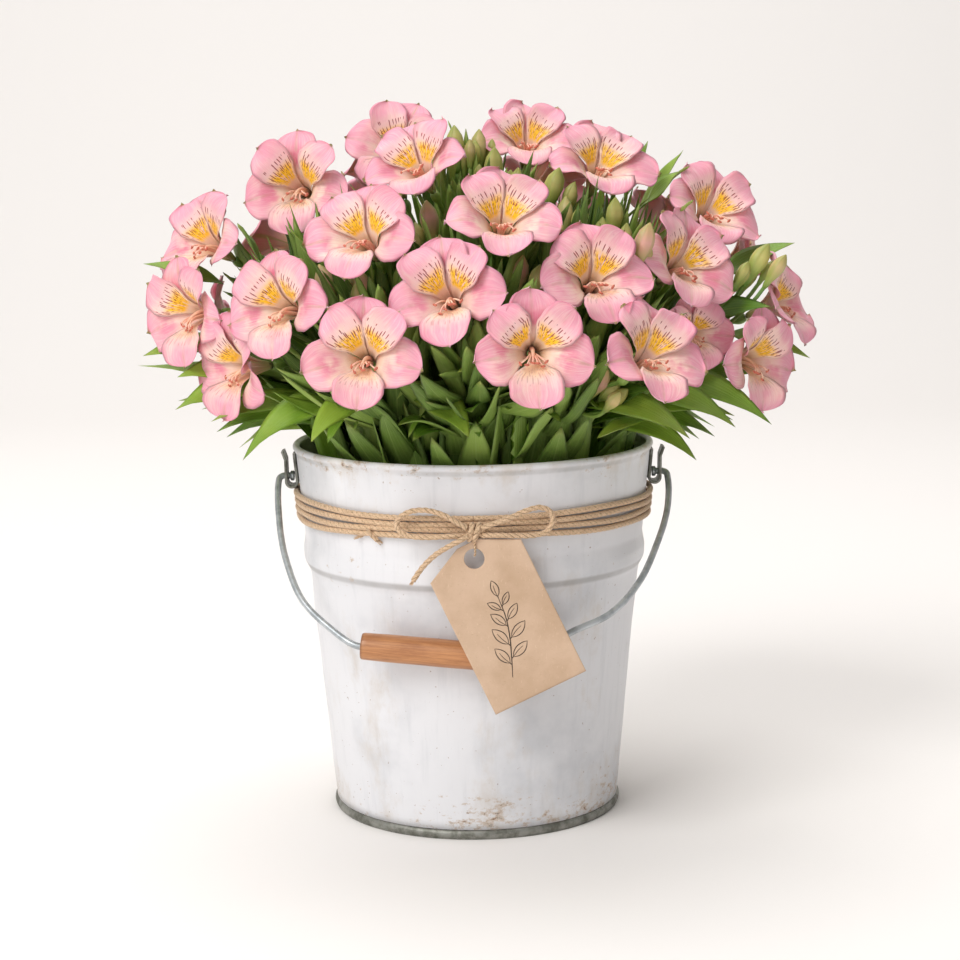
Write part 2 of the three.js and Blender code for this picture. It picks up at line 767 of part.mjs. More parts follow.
/** All blooms: the listed ones, then the rings of the back with their seeded draws. */
function listBlooms() {
  const draws = new Draws(7);
  const back = BACK_RINGS.flatMap((ring) => ring.at.map(([compass, stem]) => {
    const seat = polar(compass + draws.between(-2, 2), ring.radius, ring.height + draws.between(-4, 4));
    return {
      seat: seat.toArray(),
      aim: [compass + draws.between(-8, 8), ring.look + draws.between(-5, 5)],
      turn: draws.between(-12, 12),
      size: draws.between(0.94, 1.0),
      stem,
    };
  }));
  return [...FRONT_BLOOMS, ...back];
}

// ---------------------------------------------------------------- stems and leaves

/** Route of a stem from the floor of the pail to its umbel. */
function stemRoute(stem) {
  const points = stem.name === 'centre'
    ? STEM.centre.map((point) => new THREE.Vector3(...point))
    : STEM.route.map(([radius, height]) => polar(stem.compass, radius, height));
  return new THREE.CatmullRomCurve3(points);
}

/** Radii along a stem, with extra room where it is used as the hole for one. */
function stemRadii(extra = 0) {
  const shares = [0, 0.33, 0.67, 1];
  return shares.map((share) => [share, STEM.radius * (1 - STEM.taper * share) + extra]);
}

/** The ray that carries a bloom, ending in the green ovary under it. */
function makeRay(from, bloom) {
  const frame = bloomFrame(bloom);
  const base = frame.centre.clone().addScaledVector(frame.facing, -(BLOOM.depth * frame.size + CLEAR));
  const reach = from.distanceTo(base);
  const rise = new THREE.Vector3(0, 0, RAY.rise);
  const outward = base.clone().sub(from).normalize().add(rise).normalize();
  const curve = new THREE.CubicBezierCurve3(
    from,
    from.clone().addScaledVector(outward, reach * RAY.bend),
    base.clone().addScaledVector(frame.facing, -reach * RAY.bend),
    base,
  );
  const ovary = 1 - RAY.ovaryLength / reach;
  const radii = [[0, RAY.radius], [ovary * 0.5, RAY.radius], [ovary, RAY.radius], [1, RAY.ovary]];
  return rod(curve, radii, RAY.sides);
}

/** A closed bud on its own ray. */
function makeBud(from, bud) {
  const middle = new THREE.Vector3(...bud.at);
  const rise = new THREE.Vector3(0, 0, BUD.rise);
  const along = middle.clone().sub(from).normalize().add(rise).normalize();
  const base = middle.clone().addScaledVector(along, -BUD.length / 2);
  const tip = middle.clone().addScaledVector(along, BUD.length / 2);
  const elbow = base.clone().addScaledVector(along, -from.distanceTo(base) * BUD.bend);
  const stalk = new THREE.QuadraticBezierCurve3(from, elbow, base);
  const axis = new THREE.LineCurve3(base.clone().addScaledVector(along, -BUD.sink), tip);
  const stalkRadii = [0, 0.5, 1].map((share) => [share, RAY.radius]);
  return [rod(stalk, stalkRadii, RAY.sides), rod(axis, BUD.radii, BUD.sides)];
}

/** Whether a point keeps clear of every bloom's funnel and limb. */
function isClear(point, blooms) {
  const { margin } = LEAF;
  return blooms.every((bloom) => {
    const { centre, facing, size } = bloomFrame(bloom);
    const offset = point.clone().sub(centre);
    const height = offset.dot(facing) / size;
    const radius = offset.addScaledVector(facing, -height * size).length() / size;
    if (height < -BLOOM.depth - margin || height > BLOOM.inner.lift + margin) return true;
    const climb = (height + BLOOM.depth + margin) / (BLOOM.depth + 8);
    const share = 1 - (1 - Math.min(Math.max(climb, 0), 1)) ** 0.45;
    return radius > margin + 3 + BLOOM.outer.reach * share;
  });
}

/** A leaf along a bent line from its root to its tip, or null where a bloom is in its way. */
function makeLeaf(root, tip, arch, width, bank, blooms) {
  const middle = root.clone().add(tip).multiplyScalar(0.5);
  middle.z += arch;
  const curve = new THREE.QuadraticBezierCurve3(root, middle, tip);
  const frameAt = (share) => {
    const along = curve.getTangent(share);
    const level = new THREE.Vector3(0, 0, 1).cross(along).normalize();
    const across = level.applyAxisAngle(along, rad(bank * Math.sin(Math.PI * share)));
    return { centre: curve.getPoint(share), across, normal: along.clone().cross(across).normalize() };
  };
  for (const share of LEAF.probes) {
    const { centre, across } = frameAt(share);
    const half = share === 1 ? 0 : width / 2;
    const points = [-1, 0, 1].map((side) => centre.clone().addScaledVector(across, side * half));
    if (!points.every((point) => isClear(point, blooms))) return null;
  }
  const rings = LEAF.widths.map(([share, breadth]) => {
    const { centre, across, normal } = frameAt(share);
    const keel = Math.max(width * breadth * LEAF.keel, LEAF.thickness);
    return bladeRing(centre, across, normal, width * breadth, keel);
  });
  return loft(rings, tip);
}

/** The share of a stem's length at which it reaches a height. */
function shareAt(route, height) {
  let share = 0;
  while (share < 1 && route.getPoint(share).z < height) share += 0.005;
  return share;
}

/** One spiral of leaves, each leaf in its own slot of the sector and clear of the blooms. */
function spiralLeaves(stem, route, spiral, blooms, draws) {
  const leaves = [];
  for (let leaf = 0; leaf < spiral.count; leaf += 1) {
    const climb = leaf / (spiral.count - 1);
    const along = ([first, last], spread) => first + (last - first) * climb + draws.between(-spread, spread);
    const slot = (leaf * LEAF.spiral) % 1;
    const open = stem.sector === 360 ? 360 : stem.sector - 2 * LEAF.side;
    for (let go = 0; go < LEAF.tries; go += 1) {
      const compass = stem.compass + (slot - 0.5) * open + draws.between(-2, 2);
      const root = route.getPoint(shareAt(route, along(spiral.root, 0)));
      const tip = polar(compass, along(spiral.reach, 5), along(spiral.height, 3));
      const bank = spiral.bank * Math.sin(rad(compass)) + draws.between(-6, 6);
      const arch = along(spiral.arch, 2);
      const blade = makeLeaf(root, tip, arch, along(spiral.width, 1), bank, blooms);
      if (blade) {
        leaves.push(blade);
        break;
      }
    }
  }
  return leaves;
}

/** A leafy stem with its rays and buds, fused into one body. */
function makeStem(stem, route, blooms) {
  const draws = new Draws(stem.seed);
  const umbel = route.getPoint(STEM.umbel);
  const onStem = (item) => item.stem === stem.name;
  const rays = blooms.filter(onStem).map((bloom) => makeRay(umbel, bloom));
  const buds = BUDS.filter(onStem).flatMap((bud) => makeBud(umbel, bud));
  const leaves = stem.leaves.flatMap((name) => spiralLeaves(stem, route, SPIRALS[name], blooms, draws));
  return fuse([rod(route, stemRadii(), STEM.sides), ...leaves, ...rays, ...buds]);
}

// ---------------------------------------------------------------- assembly

const blooms = listBlooms();
const routes = STEMS.map(stemRoute);

addPiece('pail_wall', makeWall(), 'paint');
addPiece('pail_floor', makeFloor(), 'zinc');
addPiece('ear_right', makeEar(1), 'zinc');
addPiece('ear_left', makeEar(-1), 'zinc');
addPiece('water', makeWater(routes), 'water');
addPiece('bail_wire', makeBail(), 'wire');
addPiece('wood_grip', makeGrip(), 'wood');
addPiece('twine_wrap', makeTwine(), 'twine');
addPiece('bow_loop_left', cord(BOW_LEFT, BOW_RADIUS, 16), 'twine');
addPiece('bow_loop_right', cord(BOW_RIGHT, BOW_RADIUS, 16), 'twine');
addPiece('bow_tail', cord(BOW_TAIL, BOW_RADIUS, 8), 'twine');
addPiece('gift_tag', makeTag(), 'kraft');
addPiece('tag_string', makeTagString(), 'twine');
STEMS.forEach((stem, index) => {
  addPiece(`stem_${stem.name}`, makeStem(stem, routes[index], blooms), 'leaf');
});
blooms.forEach((bloom, index) => {
  addPiece(`bloom_${String(index + 1).padStart(2, '0')}`, makeBloom(bloom), 'petal');
});

export default bouquet;
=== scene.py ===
"""A bunch of pink alstroemerias standing in water in a small painted metal pail.

The frame is in metres with +Z up: the pail stands on z = 0 and its front is -Y. The sizes that the
classes hold are in millimetres and the angles in degrees. Compass angles run from the front to the right.
"""
import logging
import math
from dataclasses import dataclass
from enum import Enum
from typing import Callable, Iterable, Sequence

import bpy
import numpy as np
from mathutils import Matrix, Vector


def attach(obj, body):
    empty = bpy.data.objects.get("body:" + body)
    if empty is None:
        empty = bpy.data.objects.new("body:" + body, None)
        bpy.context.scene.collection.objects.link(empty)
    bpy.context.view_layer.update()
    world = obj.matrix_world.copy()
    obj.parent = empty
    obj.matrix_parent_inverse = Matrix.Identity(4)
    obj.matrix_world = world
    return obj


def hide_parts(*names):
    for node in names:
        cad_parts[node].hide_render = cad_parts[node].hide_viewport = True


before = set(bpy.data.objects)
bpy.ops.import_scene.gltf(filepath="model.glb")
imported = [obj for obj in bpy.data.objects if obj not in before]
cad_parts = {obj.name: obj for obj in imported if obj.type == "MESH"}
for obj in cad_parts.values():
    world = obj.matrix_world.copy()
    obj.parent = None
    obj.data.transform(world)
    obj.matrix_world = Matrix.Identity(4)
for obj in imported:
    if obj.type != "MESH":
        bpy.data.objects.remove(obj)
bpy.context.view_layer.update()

Array = np.ndarray
Pair = tuple[float, float]
Point = tuple[float, float, float]
Colour = Point
Socket = bpy.types.NodeSocket

LOG = logging.getLogger("bunch")
MM = 0.001
UP = np.array([0.0, 0.0, 1.0])


# ---------------------------------------- plain geometry


def unit(vector: Array) -> Array:
    """The vector at length one, or each of the last axis's vectors."""
    return vector / np.maximum(np.linalg.norm(vector, axis=-1, keepdims=True), 1e-12)


def ease(low: float, high: float, value: Array | float) -> Array | float:
    """A smooth step from 0 at low to 1 at high."""
    share = np.clip((np.asarray(value, float) - low) / (high - low), 0.0, 1.0)
    return share * share * (3.0 - 2.0 * share)


def polar(compass: float, radius: float, height: float) -> Array:
    """A point from its compass angle, its distance from the pail's axis and its height."""
    angle = math.radians(compass)
    return np.array([radius * math.sin(angle), -radius * math.cos(angle), height])


def around(radius: Array, angle: Array, height: Array) -> Array:
    """Points from their distance to the pail's axis, their compass angle in radians and their height."""
    return np.stack(np.broadcast_arrays(radius * np.sin(angle), -radius * np.cos(angle), height), -1)


def ring_angles(corners: int) -> Array:
    """The angles of a ring's corners, in radians."""
    return 2 * np.pi * np.arange(corners) / corners


def passed(points: Array) -> Array:
    """The length of a line that is passed at each of its points."""
    return np.concatenate([[0.0], np.cumsum(np.linalg.norm(np.diff(points, axis=0), axis=1))])


def turned_about(vector: Array, axis: Array, degrees: float) -> Array:
    """The vector turned about an axis of length one.

    Args:
        vector: the vector.
        axis: the axis.
        degrees: the angle.

    Returns:
        The turned vector.
    """
    angle = math.radians(degrees)
    along = axis * float(vector @ axis)
    return along + (vector - along) * math.cos(angle) + np.cross(axis, vector) * math.sin(angle)


class Draws:
    """A seeded run of draws between 0 and 1."""

    def __init__(self, seed: int) -> None:
        """Starts the run from its seed."""
        self.state = seed & 0xFFFFFFFF

    def next(self) -> float:
        """The next draw."""
        self.state = (self.state * 1664525 + 1013904223) & 0xFFFFFFFF
        return self.state / 4294967296

    def between(self, low: float, high: float) -> float:
        """The next draw, between two limits."""
        return low + (high - low) * self.next()

    def about(self, spread: float) -> float:
        """The next draw, up to a spread to either side of 0."""
        return self.between(-spread, spread)

    def phase(self) -> float:
        """The next draw, as the phase of a wave."""
        return self.between(0, 6.28)


class Line:
    """A line in space, followed by the share of it that is passed."""

    def at(self, share: float) -> Array:
        """The point at a share."""
        raise NotImplementedError

    def tangent(self, share: float) -> Array:
        """The direction of the line at a share."""
        before, after = max(share - 1e-4, 0.0), min(share + 1e-4, 1.0)
        return unit(self.at(after) - self.at(before))

    def sample(self, shares: Iterable[float]) -> Array:
        """The points at several shares."""
        return np.array([self.at(float(share)) for share in shares])

    def spaced(self, count: int) -> Array:
        """A number of points, an equal share apart."""
        return self.sample(np.linspace(0, 1, count))


class SmoothLine(Line):
    """A centripetal Catmull-Rom line through points."""

    def __init__(self, points: Sequence[Sequence[float]]) -> None:
        """Keeps the points, with a mirrored one beyond each end.

        Args:
            points: the points that it passes, in order.
        """
        knots = np.array(points, float)
        self.knots = np.vstack([2 * knots[0] - knots[1], knots, 2 * knots[-1] - knots[-2]])

    def at(self, share: float) -> Array:
        """The point at a share.

        Args:
            share: 0 at the first point and 1 at the last.

        Returns:
            The point.
        """
        spans = len(self.knots) - 3
        place = spans * share
        span = min(int(place), spans - 1)
        t = place - span
        p0, p1, p2, p3 = self.knots[span : span + 4]
        gaps = [float(np.sum((b - a) ** 2)) ** 0.25 for a, b in ((p0, p1), (p1, p2), (p2, p3))]
        g1 = gaps[1] if gaps[1] > 1e-4 else 1.0
        g0, g2 = (gap if gap > 1e-4 else g1 for gap in (gaps[0], gaps[2]))
        t1 = ((p1 - p0) / g0 - (p2 - p0) / (g0 + g1) + (p2 - p1) / g1) * g1
        t2 = ((p2 - p1) / g1 - (p3 - p1) / (g1 + g2) + (p3 - p2) / g2) * g1
        cubic = 2 * p1 - 2 * p2 + t1 + t2
        square = -3 * p1 + 3 * p2 - 2 * t1 - t2
        return p1 + t1 * t + square * t * t + cubic * t**3


class BentLine(Line):
    """A Bezier line of any degree, drawn towards its inner points."""

    def __init__(self, *points: Array) -> None:
        """Keeps its points."""
        self.points = points

    def at(self, share: float) -> Array:
        """The point at a share.

        Args:
            share: 0 at the first point and 1 at the last.

        Returns:
            The point.
        """
        degree = len(self.points) - 1
        return sum(math.comb(degree, k) * share**k * (1 - share) ** (degree - k) * point
                   for k, point in enumerate(self.points))


# ---------------------------------------- named options


class Body(Enum):
    """The bodies that pieces ride on."""

    PAIL = "pail"
    BAIL = "bail"
    GRIP = "grip"
    TAG = "tag"


class Slot(Enum):
    """The material slots of the pieces."""

    PAINT = "paint"
    ZINC = "zinc"
    WATER = "water"
    TWINE = "twine"
    WIRE = "wire"
    WOOD = "wood"
    KRAFT = "kraft"
    PETAL = "petal"
    LEAF = "leaf"


class Stem(Enum):
    """The leafy stems, by where they stand in the pail."""

    CENTRE = "centre"
    FRONT = "front"
    FRONT_LEFT = "front_left"
    LEFT = "left"
    BACK_LEFT = "back_left"
    BACK = "back"
    BACK_RIGHT = "back_right"
    RIGHT_BACK = "right_back"
    RIGHT = "right"
    FRONT_RIGHT = "front_right"


class Coat(Enum):
    """The finishes that faces can have."""

    PAINT = "worn_white_paint"
    ZINC = "dull_zinc"
    WIRE = "drawn_steel_wire"
    WOOD = "oiled_wood"
    TWINE = "jute_twine"
    KRAFT = "kraft_card"
    INK = "brown_ink"
    WATER = "clear_water"
    OUTER = "outer_petal"
    MARKED = "marked_petal"
    LOWER = "lower_petal"
    BACK = "petal_back"
    FILAMENT = "coral_filament"
    ANTHER = "red_anther"
    LEAF = "leaf_face"
    LEAF_BACK = "leaf_back"
    STALK = "green_stalk"
    BUD = "closed_bud"
    FLOOR = "pale_floor"


# ---------------------------------------- finishes


class Value:
    """A number, vector or colour of a finish, with the steps that change it."""

    def __init__(self, graph: "Graph", socket: Socket) -> None:
        """Keeps the graph and the socket that gives the value.

        Args:
            graph: the material's graph.
            socket: an output of one of its nodes.
        """
        self.graph = graph
        self.socket = socket

    def __add__(self, other: "Value | float") -> "Value":
        """The sum of two numbers."""
        return self.graph.math("ADD", self, other)

    def __sub__(self, other: "Value | float") -> "Value":
        """The difference of two numbers."""
        return self.graph.math("SUBTRACT", self, other)

    def __mul__(self, other: "Value | float") -> "Value":
        """The product of two numbers."""
        return self.graph.math("MULTIPLY", self, other)

    def __truediv__(self, other: "Value | float") -> "Value":
        """The quotient of two numbers."""
        return self.graph.math("DIVIDE", self, other)

    def side(self) -> "Value":
        """How far a map's number is from its middle: 0 there and 1 at both edges."""
        return self.graph.math("ABSOLUTE", self * 2.0 - 1.0)

    def ribs(self, count: int) -> "Value":
        """A wave with a number of ribs across the piece, from -1 to 1."""
        return self.graph.math("SINE", self * (2 * math.pi * count))

    def fade(self, low: float, high: float, start: float = 0, end: float = 1) -> "Value":
        """A smooth change as the number goes from one limit to another.

        Args:
            low: the number at which the change begins.
            high: the number at which it ends.
            start: the result at low and beyond it.
            end: the result at high and beyond it.

        Returns:
            The result.
        """
        inputs = {"Value": self, "From Min": low, "From Max": high, "To Min": start, "To Max": end}
        return self.graph.node("ShaderNodeMapRange", "Result", inputs, interpolation_type="SMOOTHSTEP")

    def band(self, low: float, rise: float, fall: float, high: float) -> "Value":
        """A smooth hill: 0 at low, 1 from rise to fall, 0 at high."""
        return self.fade(low, rise) * self.fade(fall, high, 1, 0)

    def ramp(self, stops: Sequence[tuple[float, Colour]]) -> "Value":
        """A colour for the number.

        Args:
            stops: the places along the ramp, each with its colour.

        Returns:
            The colour.
        """
        colour = self.graph.node("ShaderNodeValToRGB", "Color", {"Fac": self})
        bar = colour.socket.node.color_ramp.elements
        while len(bar) < len(stops):
            bar.new(0.5)
        for element, (place, shade) in zip(bar, stops):
            element.position = place
            element.color = (*shade, 1.0)
        return colour

    def parts(self) -> "list[Value]":
        """The three numbers of a vector."""
        first = self.graph.node("ShaderNodeSeparateXYZ", 0, {0: self})
        return [Value(self.graph, socket) for socket in first.socket.node.outputs]

    def stretch(self, *factors: float) -> "Value":
        """A vector with each of its numbers multiplied."""
        return self.graph.node("ShaderNodeVectorMath", 0, {0: self, 1: factors}, operation="MULTIPLY")

    def noise(self, scale: float, detail: float = 3, rough: float = 0.55) -> "Value":
        """Cloudy noise about 0.5 over a place.

        Args:
            scale: how many clouds a unit of the place holds.
            detail: how many finer layers lie over them.
            rough: how strong each layer is beside the one before.

        Returns:
            The noise.
        """
        inputs = {"Vector": self, "Scale": scale, "Detail": detail, "Roughness": rough}
        return self.graph.node("ShaderNodeTexNoise", "Fac", inputs)

    def bump(self, strength: float, distance: float) -> "Value":
        """A surface normal from a height.

        Args:
            strength: how strongly the relief shows.
            distance: the relief's depth in millimetres.

        Returns:
            The normal.
        """
        inputs = {"Strength": strength, "Distance": distance * MM, "Height": self}
        return self.graph.node("ShaderNodeBump", "Normal", inputs)


class Graph:
    """A material's node tree, built from small steps."""

    def __init__(self, name: str) -> None:
        """Starts an empty material.

        Args:
            name: the material's name.
        """
        self.material = bpy.data.materials.new(name)
        self.material.use_nodes = True
        self.tree = self.material.node_tree
        self.tree.nodes.clear()

    def feed(self, socket: Socket, value: object) -> None:
        """Links a socket to a value or sets it to a constant.

        Args:
            socket: the socket that is fed.
            value: a value of the graph, a number, a vector or a colour.
        """
        if isinstance(value, Value):
            self.tree.links.new(value.socket, socket)
        elif isinstance(value, tuple) and socket.type == "RGBA":
            socket.default_value = (*value, 1.0)
        else:
            socket.default_value = value

    def node(self, kind: str, output: str | int, inputs: dict[str | int, object] | None = None,
             **settings: object) -> Value:
        """Adds a node.

        Args:
            kind: the node's type.
            output: the name or number of the socket that gives its value.
            inputs: what each named or numbered socket is fed with.
            settings: the node's other settings.

        Returns:
            Its value.
        """
        made = self.tree.nodes.new(kind)
        for key, setting in settings.items():
            setattr(made, key, setting)
        for key, value in (inputs or {}).items():
            self.feed(made.inputs[key], value)
        return Value(self, made.outputs[output])

    def math(self, operation: str, *values: Value | float) -> Value:
        """A sum or another function of numbers."""
        return self.node("ShaderNodeMath", 0, dict(enumerate(values)), operation=operation)

    def mix(self, factor: Value, first: Value | Colour, second: Value | Colour) -> Value:
        """A colour between two others, the first one where the factor is 0."""
        return self.node("ShaderNodeMix", 2, {0: factor, 6: first, 7: second}, data_type="RGBA")

    def join(self, *values: Value | float) -> Value:
        """A vector from its numbers."""
        return self.node("ShaderNodeCombineXYZ", 0, dict(enumerate(values)))

    def place(self) -> Value:
        """The point of the object in its own frame, in metres."""
        return self.node("ShaderNodeTexCoord", "Object")

    def across_along(self) -> list[Value]:
        """The two numbers of the piece's own map: across it and along it."""
        return self.node("ShaderNodeTexCoord", "UV").parts()[:2]

    def tint(self) -> Value:
        """The shade that each petal or leaf was given, from 0 to 1; on twine, how near a point is to a ply's
        crest, which sets the painted shade between the plies.
        """
        return self.node("ShaderNodeAttribute", "Fac", attribute_name="tint")

    def surface(self, **sockets: object) -> None:
        """Ends the material in a principled surface.

        Args:
            sockets: what its sockets are fed with, by their names with underscores for spaces.
        """
        inputs = {key.replace("_", " "): value for key, value in sockets.items()}
        shader = self.node("ShaderNodeBsdfPrincipled", 0, inputs)
        self.feed(self.tree.nodes.new("ShaderNodeOutputMaterial").inputs["Surface"], shader)


@dataclass(frozen=True)
class Finish:
    """A material of one coat."""

    coat: Coat

    def paint(self, graph: Graph) -> None:
        """Builds the nodes in a graph."""
        raise NotImplementedError

    def material(self) -> bpy.types.Material:
        """The finished material."""
        graph = Graph(self.coat.value)
        self.paint(graph)
        return graph.material


@dataclass(frozen=True)
class PaintFinish(Finish):
    """Off-white paint on sheet steel, brushed on, smudged grey, and chipped to tan primer and rust."""

    white: Colour = (0.755, 0.755, 0.78)
    shade: Colour = (0.56, 0.57, 0.60)
    grime: Colour = (0.52, 0.43, 0.33)
    primer: Colour = (0.50, 0.37, 0.26)
    rust: Colour = (0.24, 0.125, 0.06)
    metal: Colour = (0.27, 0.27, 0.25)

    def paint(self, graph: Graph) -> None:
        """Builds the paint, its smudges, chips and brush marks, and a thin line of painted shade under the
        bead.

        Args:
            graph: the material's graph.
        """
        place = graph.place()
        height = place.parts()[2] * 1000.0
        clouds = place.noise(17.0, 5, 0.6)
        strokes = place.stretch(190.0, 190.0, 14.0).noise(1.0, 4, 0.6)
        colour = graph.mix(clouds.fade(0.46, 0.75) * 0.8, self.white, self.shade)
        colour = graph.mix(strokes.fade(0.5, 0.75) * 0.3, colour, self.shade)
        low = height.fade(3.0, 52.0, 1, 0)
        high = height.fade(180.0, 194.0)
        bead = height.band(124.0, 133.0, 142.0, 152.0)
        worn = low + (high + bead * 0.4)
        smudge = place.stretch(1.0, 1.0, 0.6).noise(30.0, 6, 0.65)
        stain = (smudge + worn * 0.1).fade(0.55, 0.78)
        colour = graph.mix(stain * 0.5, colour, self.grime)
        # painted shade: a thin dark grey line under the lower lip of the bead, broken by the clouds
        painted_bead_shade = height.band(130.0, 132.2, 133.4, 135.2) * clouds.fade(0.2, 0.6, 0.4, 1) * 0.6
        colour = graph.mix(painted_bead_shade, colour, (0.3, 0.29, 0.28))
        fine = place.stretch(1.0, 1.0, 1.6).noise(190.0, 6, 0.72)
        patch = place.noise(42.0, 2, 0.5)
        chance = fine * 0.66 + patch * 0.34
        chance = chance + worn * 0.125
        worn_through = chance.fade(0.645, 0.72)
        colour = graph.mix(worn_through * 0.7, colour, self.primer)
        chip = chance.fade(0.735, 0.75)
        bare = graph.mix(place.noise(320.0, 3).fade(0.42, 0.62), self.metal, self.rust)
        colour = graph.mix(chip, colour, bare)
        speck = place.noise(520.0, 2, 0.5).fade(0.735, 0.75)
        colour = graph.mix(speck * 0.6, colour, self.rust)
        edge = height.band(189.0, 190.5, 191.5, 193.0) * clouds.fade(0.3, 0.65) * 0.45
        colour = graph.mix(edge, colour, self.metal)
        relief = strokes * 0.25 + clouds * 0.4
        relief = relief - worn_through * 0.3
        rough = clouds * 0.25 + 0.3
        graph.surface(Base_Color=colour, Roughness=rough, Metallic=0.0, Normal=relief.bump(0.45, 0.35),
                      Specular_IOR_Level=0.5)


@dataclass(frozen=True)
class MetalFinish(Finish):
    """Grey metal with dull patches and fine scratches."""

    light: Colour
    dark: Colour
    roughness: float
    metallic: float = 0.85

    def paint(self, graph: Graph) -> None:
        """Builds patches, scratches and an uneven gloss.

        Args:
            graph: the material's graph.
        """
        place = graph.place()
        patch = place.noise(130.0, 5, 0.65)
        fine = place.stretch(1.0, 1.0, 3.0).noise(900.0, 2)
        colour = graph.mix(patch.fade(0.38, 0.66), self.light, self.dark)
        rough = patch * 0.3 + (self.roughness - 0.15)
        graph.surface(Base_Color=colour, Roughness=rough, Metallic=self.metallic, Normal=fine.bump(0.25, 0.1))


@dataclass(frozen=True)
class WoodFinish(Finish):
    """Turned red-brown wood with long grain, fine cracks and a satin oil."""

    light: Colour = (0.58, 0.265, 0.105)
    dark: Colour = (0.30, 0.105, 0.038)

    def paint(self, graph: Graph) -> None:
        """Builds the grain along the grip.

        Args:
            graph: the material's graph.
        """
        across, along = graph.across_along()
        spot = graph.join(across * 5.0, along * 2.2, 0.0)
        wavy = spot.noise(2.0, 4, 0.6)
        lines = graph.join(across * 70.0, along * 4.0, wavy).noise(1.0, 5, 0.7)
        cracks = graph.join(across * 26.0, along * 1.4, 3.0).noise(1.0, 2)
        colour = graph.mix(lines.fade(0.34, 0.68) * 0.62, self.light, self.dark)
        colour = graph.mix(wavy.fade(0.42, 0.7) * 0.5, colour, self.dark)
        colour = graph.mix(cracks.fade(0.66, 0.7), colour, (0.045, 0.018, 0.008))
        ends = along.fade(0.0, 0.02, 1, 0) + along.fade(0.98, 1.0)
        colour = graph.mix(ends * 0.5, colour, (0.1, 0.04, 0.018))
        graph.surface(Base_Color=colour, Roughness=lines * 0.3 + 0.25, Normal=lines.bump(0.35, 0.2),
                      Coat_Weight=0.15, Coat_Roughness=0.35)


@dataclass(frozen=True)
class TwineFinish(Finish):
    """Jute: pale brown fibres that run along each strand."""

    light: Colour = (0.78, 0.56, 0.37)
    dark: Colour = (0.44, 0.28, 0.155)

    def paint(self, graph: Graph) -> None:
        """Builds fibres over the strands, with painted shade in the grooves between them.

        Args:
            graph: the material's graph.
        """
        place = graph.place()
        fibres = place.noise(1500.0, 3, 0.7)
        cloud = place.noise(170.0, 2)
        groove_shade = graph.tint()
        colour = graph.mix(fibres.fade(0.35, 0.7), self.light, self.dark)
        colour = graph.mix(cloud.fade(0.4, 0.7) * 0.3, colour, (0.66, 0.47, 0.28))
        # painted shade: darker in the grooves between the plies, where the tint is low
        colour = graph.mix(groove_shade.fade(0.6, 0.0, 0, 0.85), colour, (0.12, 0.06, 0.025))
        graph.surface(Base_Color=colour, Roughness=0.92, Sheen_Weight=0.25, Sheen_Roughness=0.5,
                      Normal=fibres.bump(0.6, 0.25))


@dataclass(frozen=True)
class KraftFinish(Finish):
    """Uncoated brown card with pale and dark fibres, softly creased."""

    card: Colour = (0.64, 0.455, 0.32)
    dark: Colour = (0.54, 0.37, 0.245)

    def paint(self, graph: Graph) -> None:
        """Builds the card's cloud, flecks and creases.

        Args:
            graph: the material's graph.
        """
        place = graph.place()
        cloud = place.noise(45.0, 4, 0.6)
        flecks = place.stretch(1.0, 1.0, 3.2).noise(650.0, 3, 0.75)
        hairs = place.stretch(4.0, 1.0, 1.0).noise(420.0, 2, 0.6)
        colour = graph.mix(cloud.fade(0.35, 0.7), self.card, self.dark)
        colour = graph.mix(flecks.fade(0.6, 0.72) * 0.35, colour, (0.3, 0.17, 0.085))
        colour = graph.mix(hairs.fade(0.63, 0.74) * 0.35, colour, (0.82, 0.64, 0.45))
        relief = flecks * 0.3 + cloud
        graph.surface(Base_Color=colour, Roughness=0.88, Normal=relief.bump(0.3, 0.25))


@dataclass(frozen=True)
class PlainFinish(Finish):
    """A small soft part: one colour that wanders to another."""

    light: Colour
    dark: Colour
    roughness: float
    scale: float = 500.0

    def paint(self, graph: Graph) -> None:
        """Builds the wandering colour.

        Args:
            graph: the material's graph.
        """
        cloud = graph.place().noise(self.scale, 3)
        colour = graph.mix(cloud.fade(0.35, 0.65), self.light, self.dark)
        graph.surface(Base_Color=colour, Roughness=self.roughness, Normal=cloud.bump(0.3, 0.15))


@dataclass(frozen=True)
class WaterFinish(Finish):
    """Still clear water with the faintest ripple."""

    def paint(self, graph: Graph) -> None:
        """Builds the water.

        Args:
            graph: the material's graph.
        """
        ripple = graph.place().noise(40.0, 2)
        graph.surface(Base_Color=(0.9, 0.96, 0.94), Roughness=0.02, IOR=1.333, Transmission_Weight=1.0,
                      Normal=ripple.bump(0.1, 0.3))


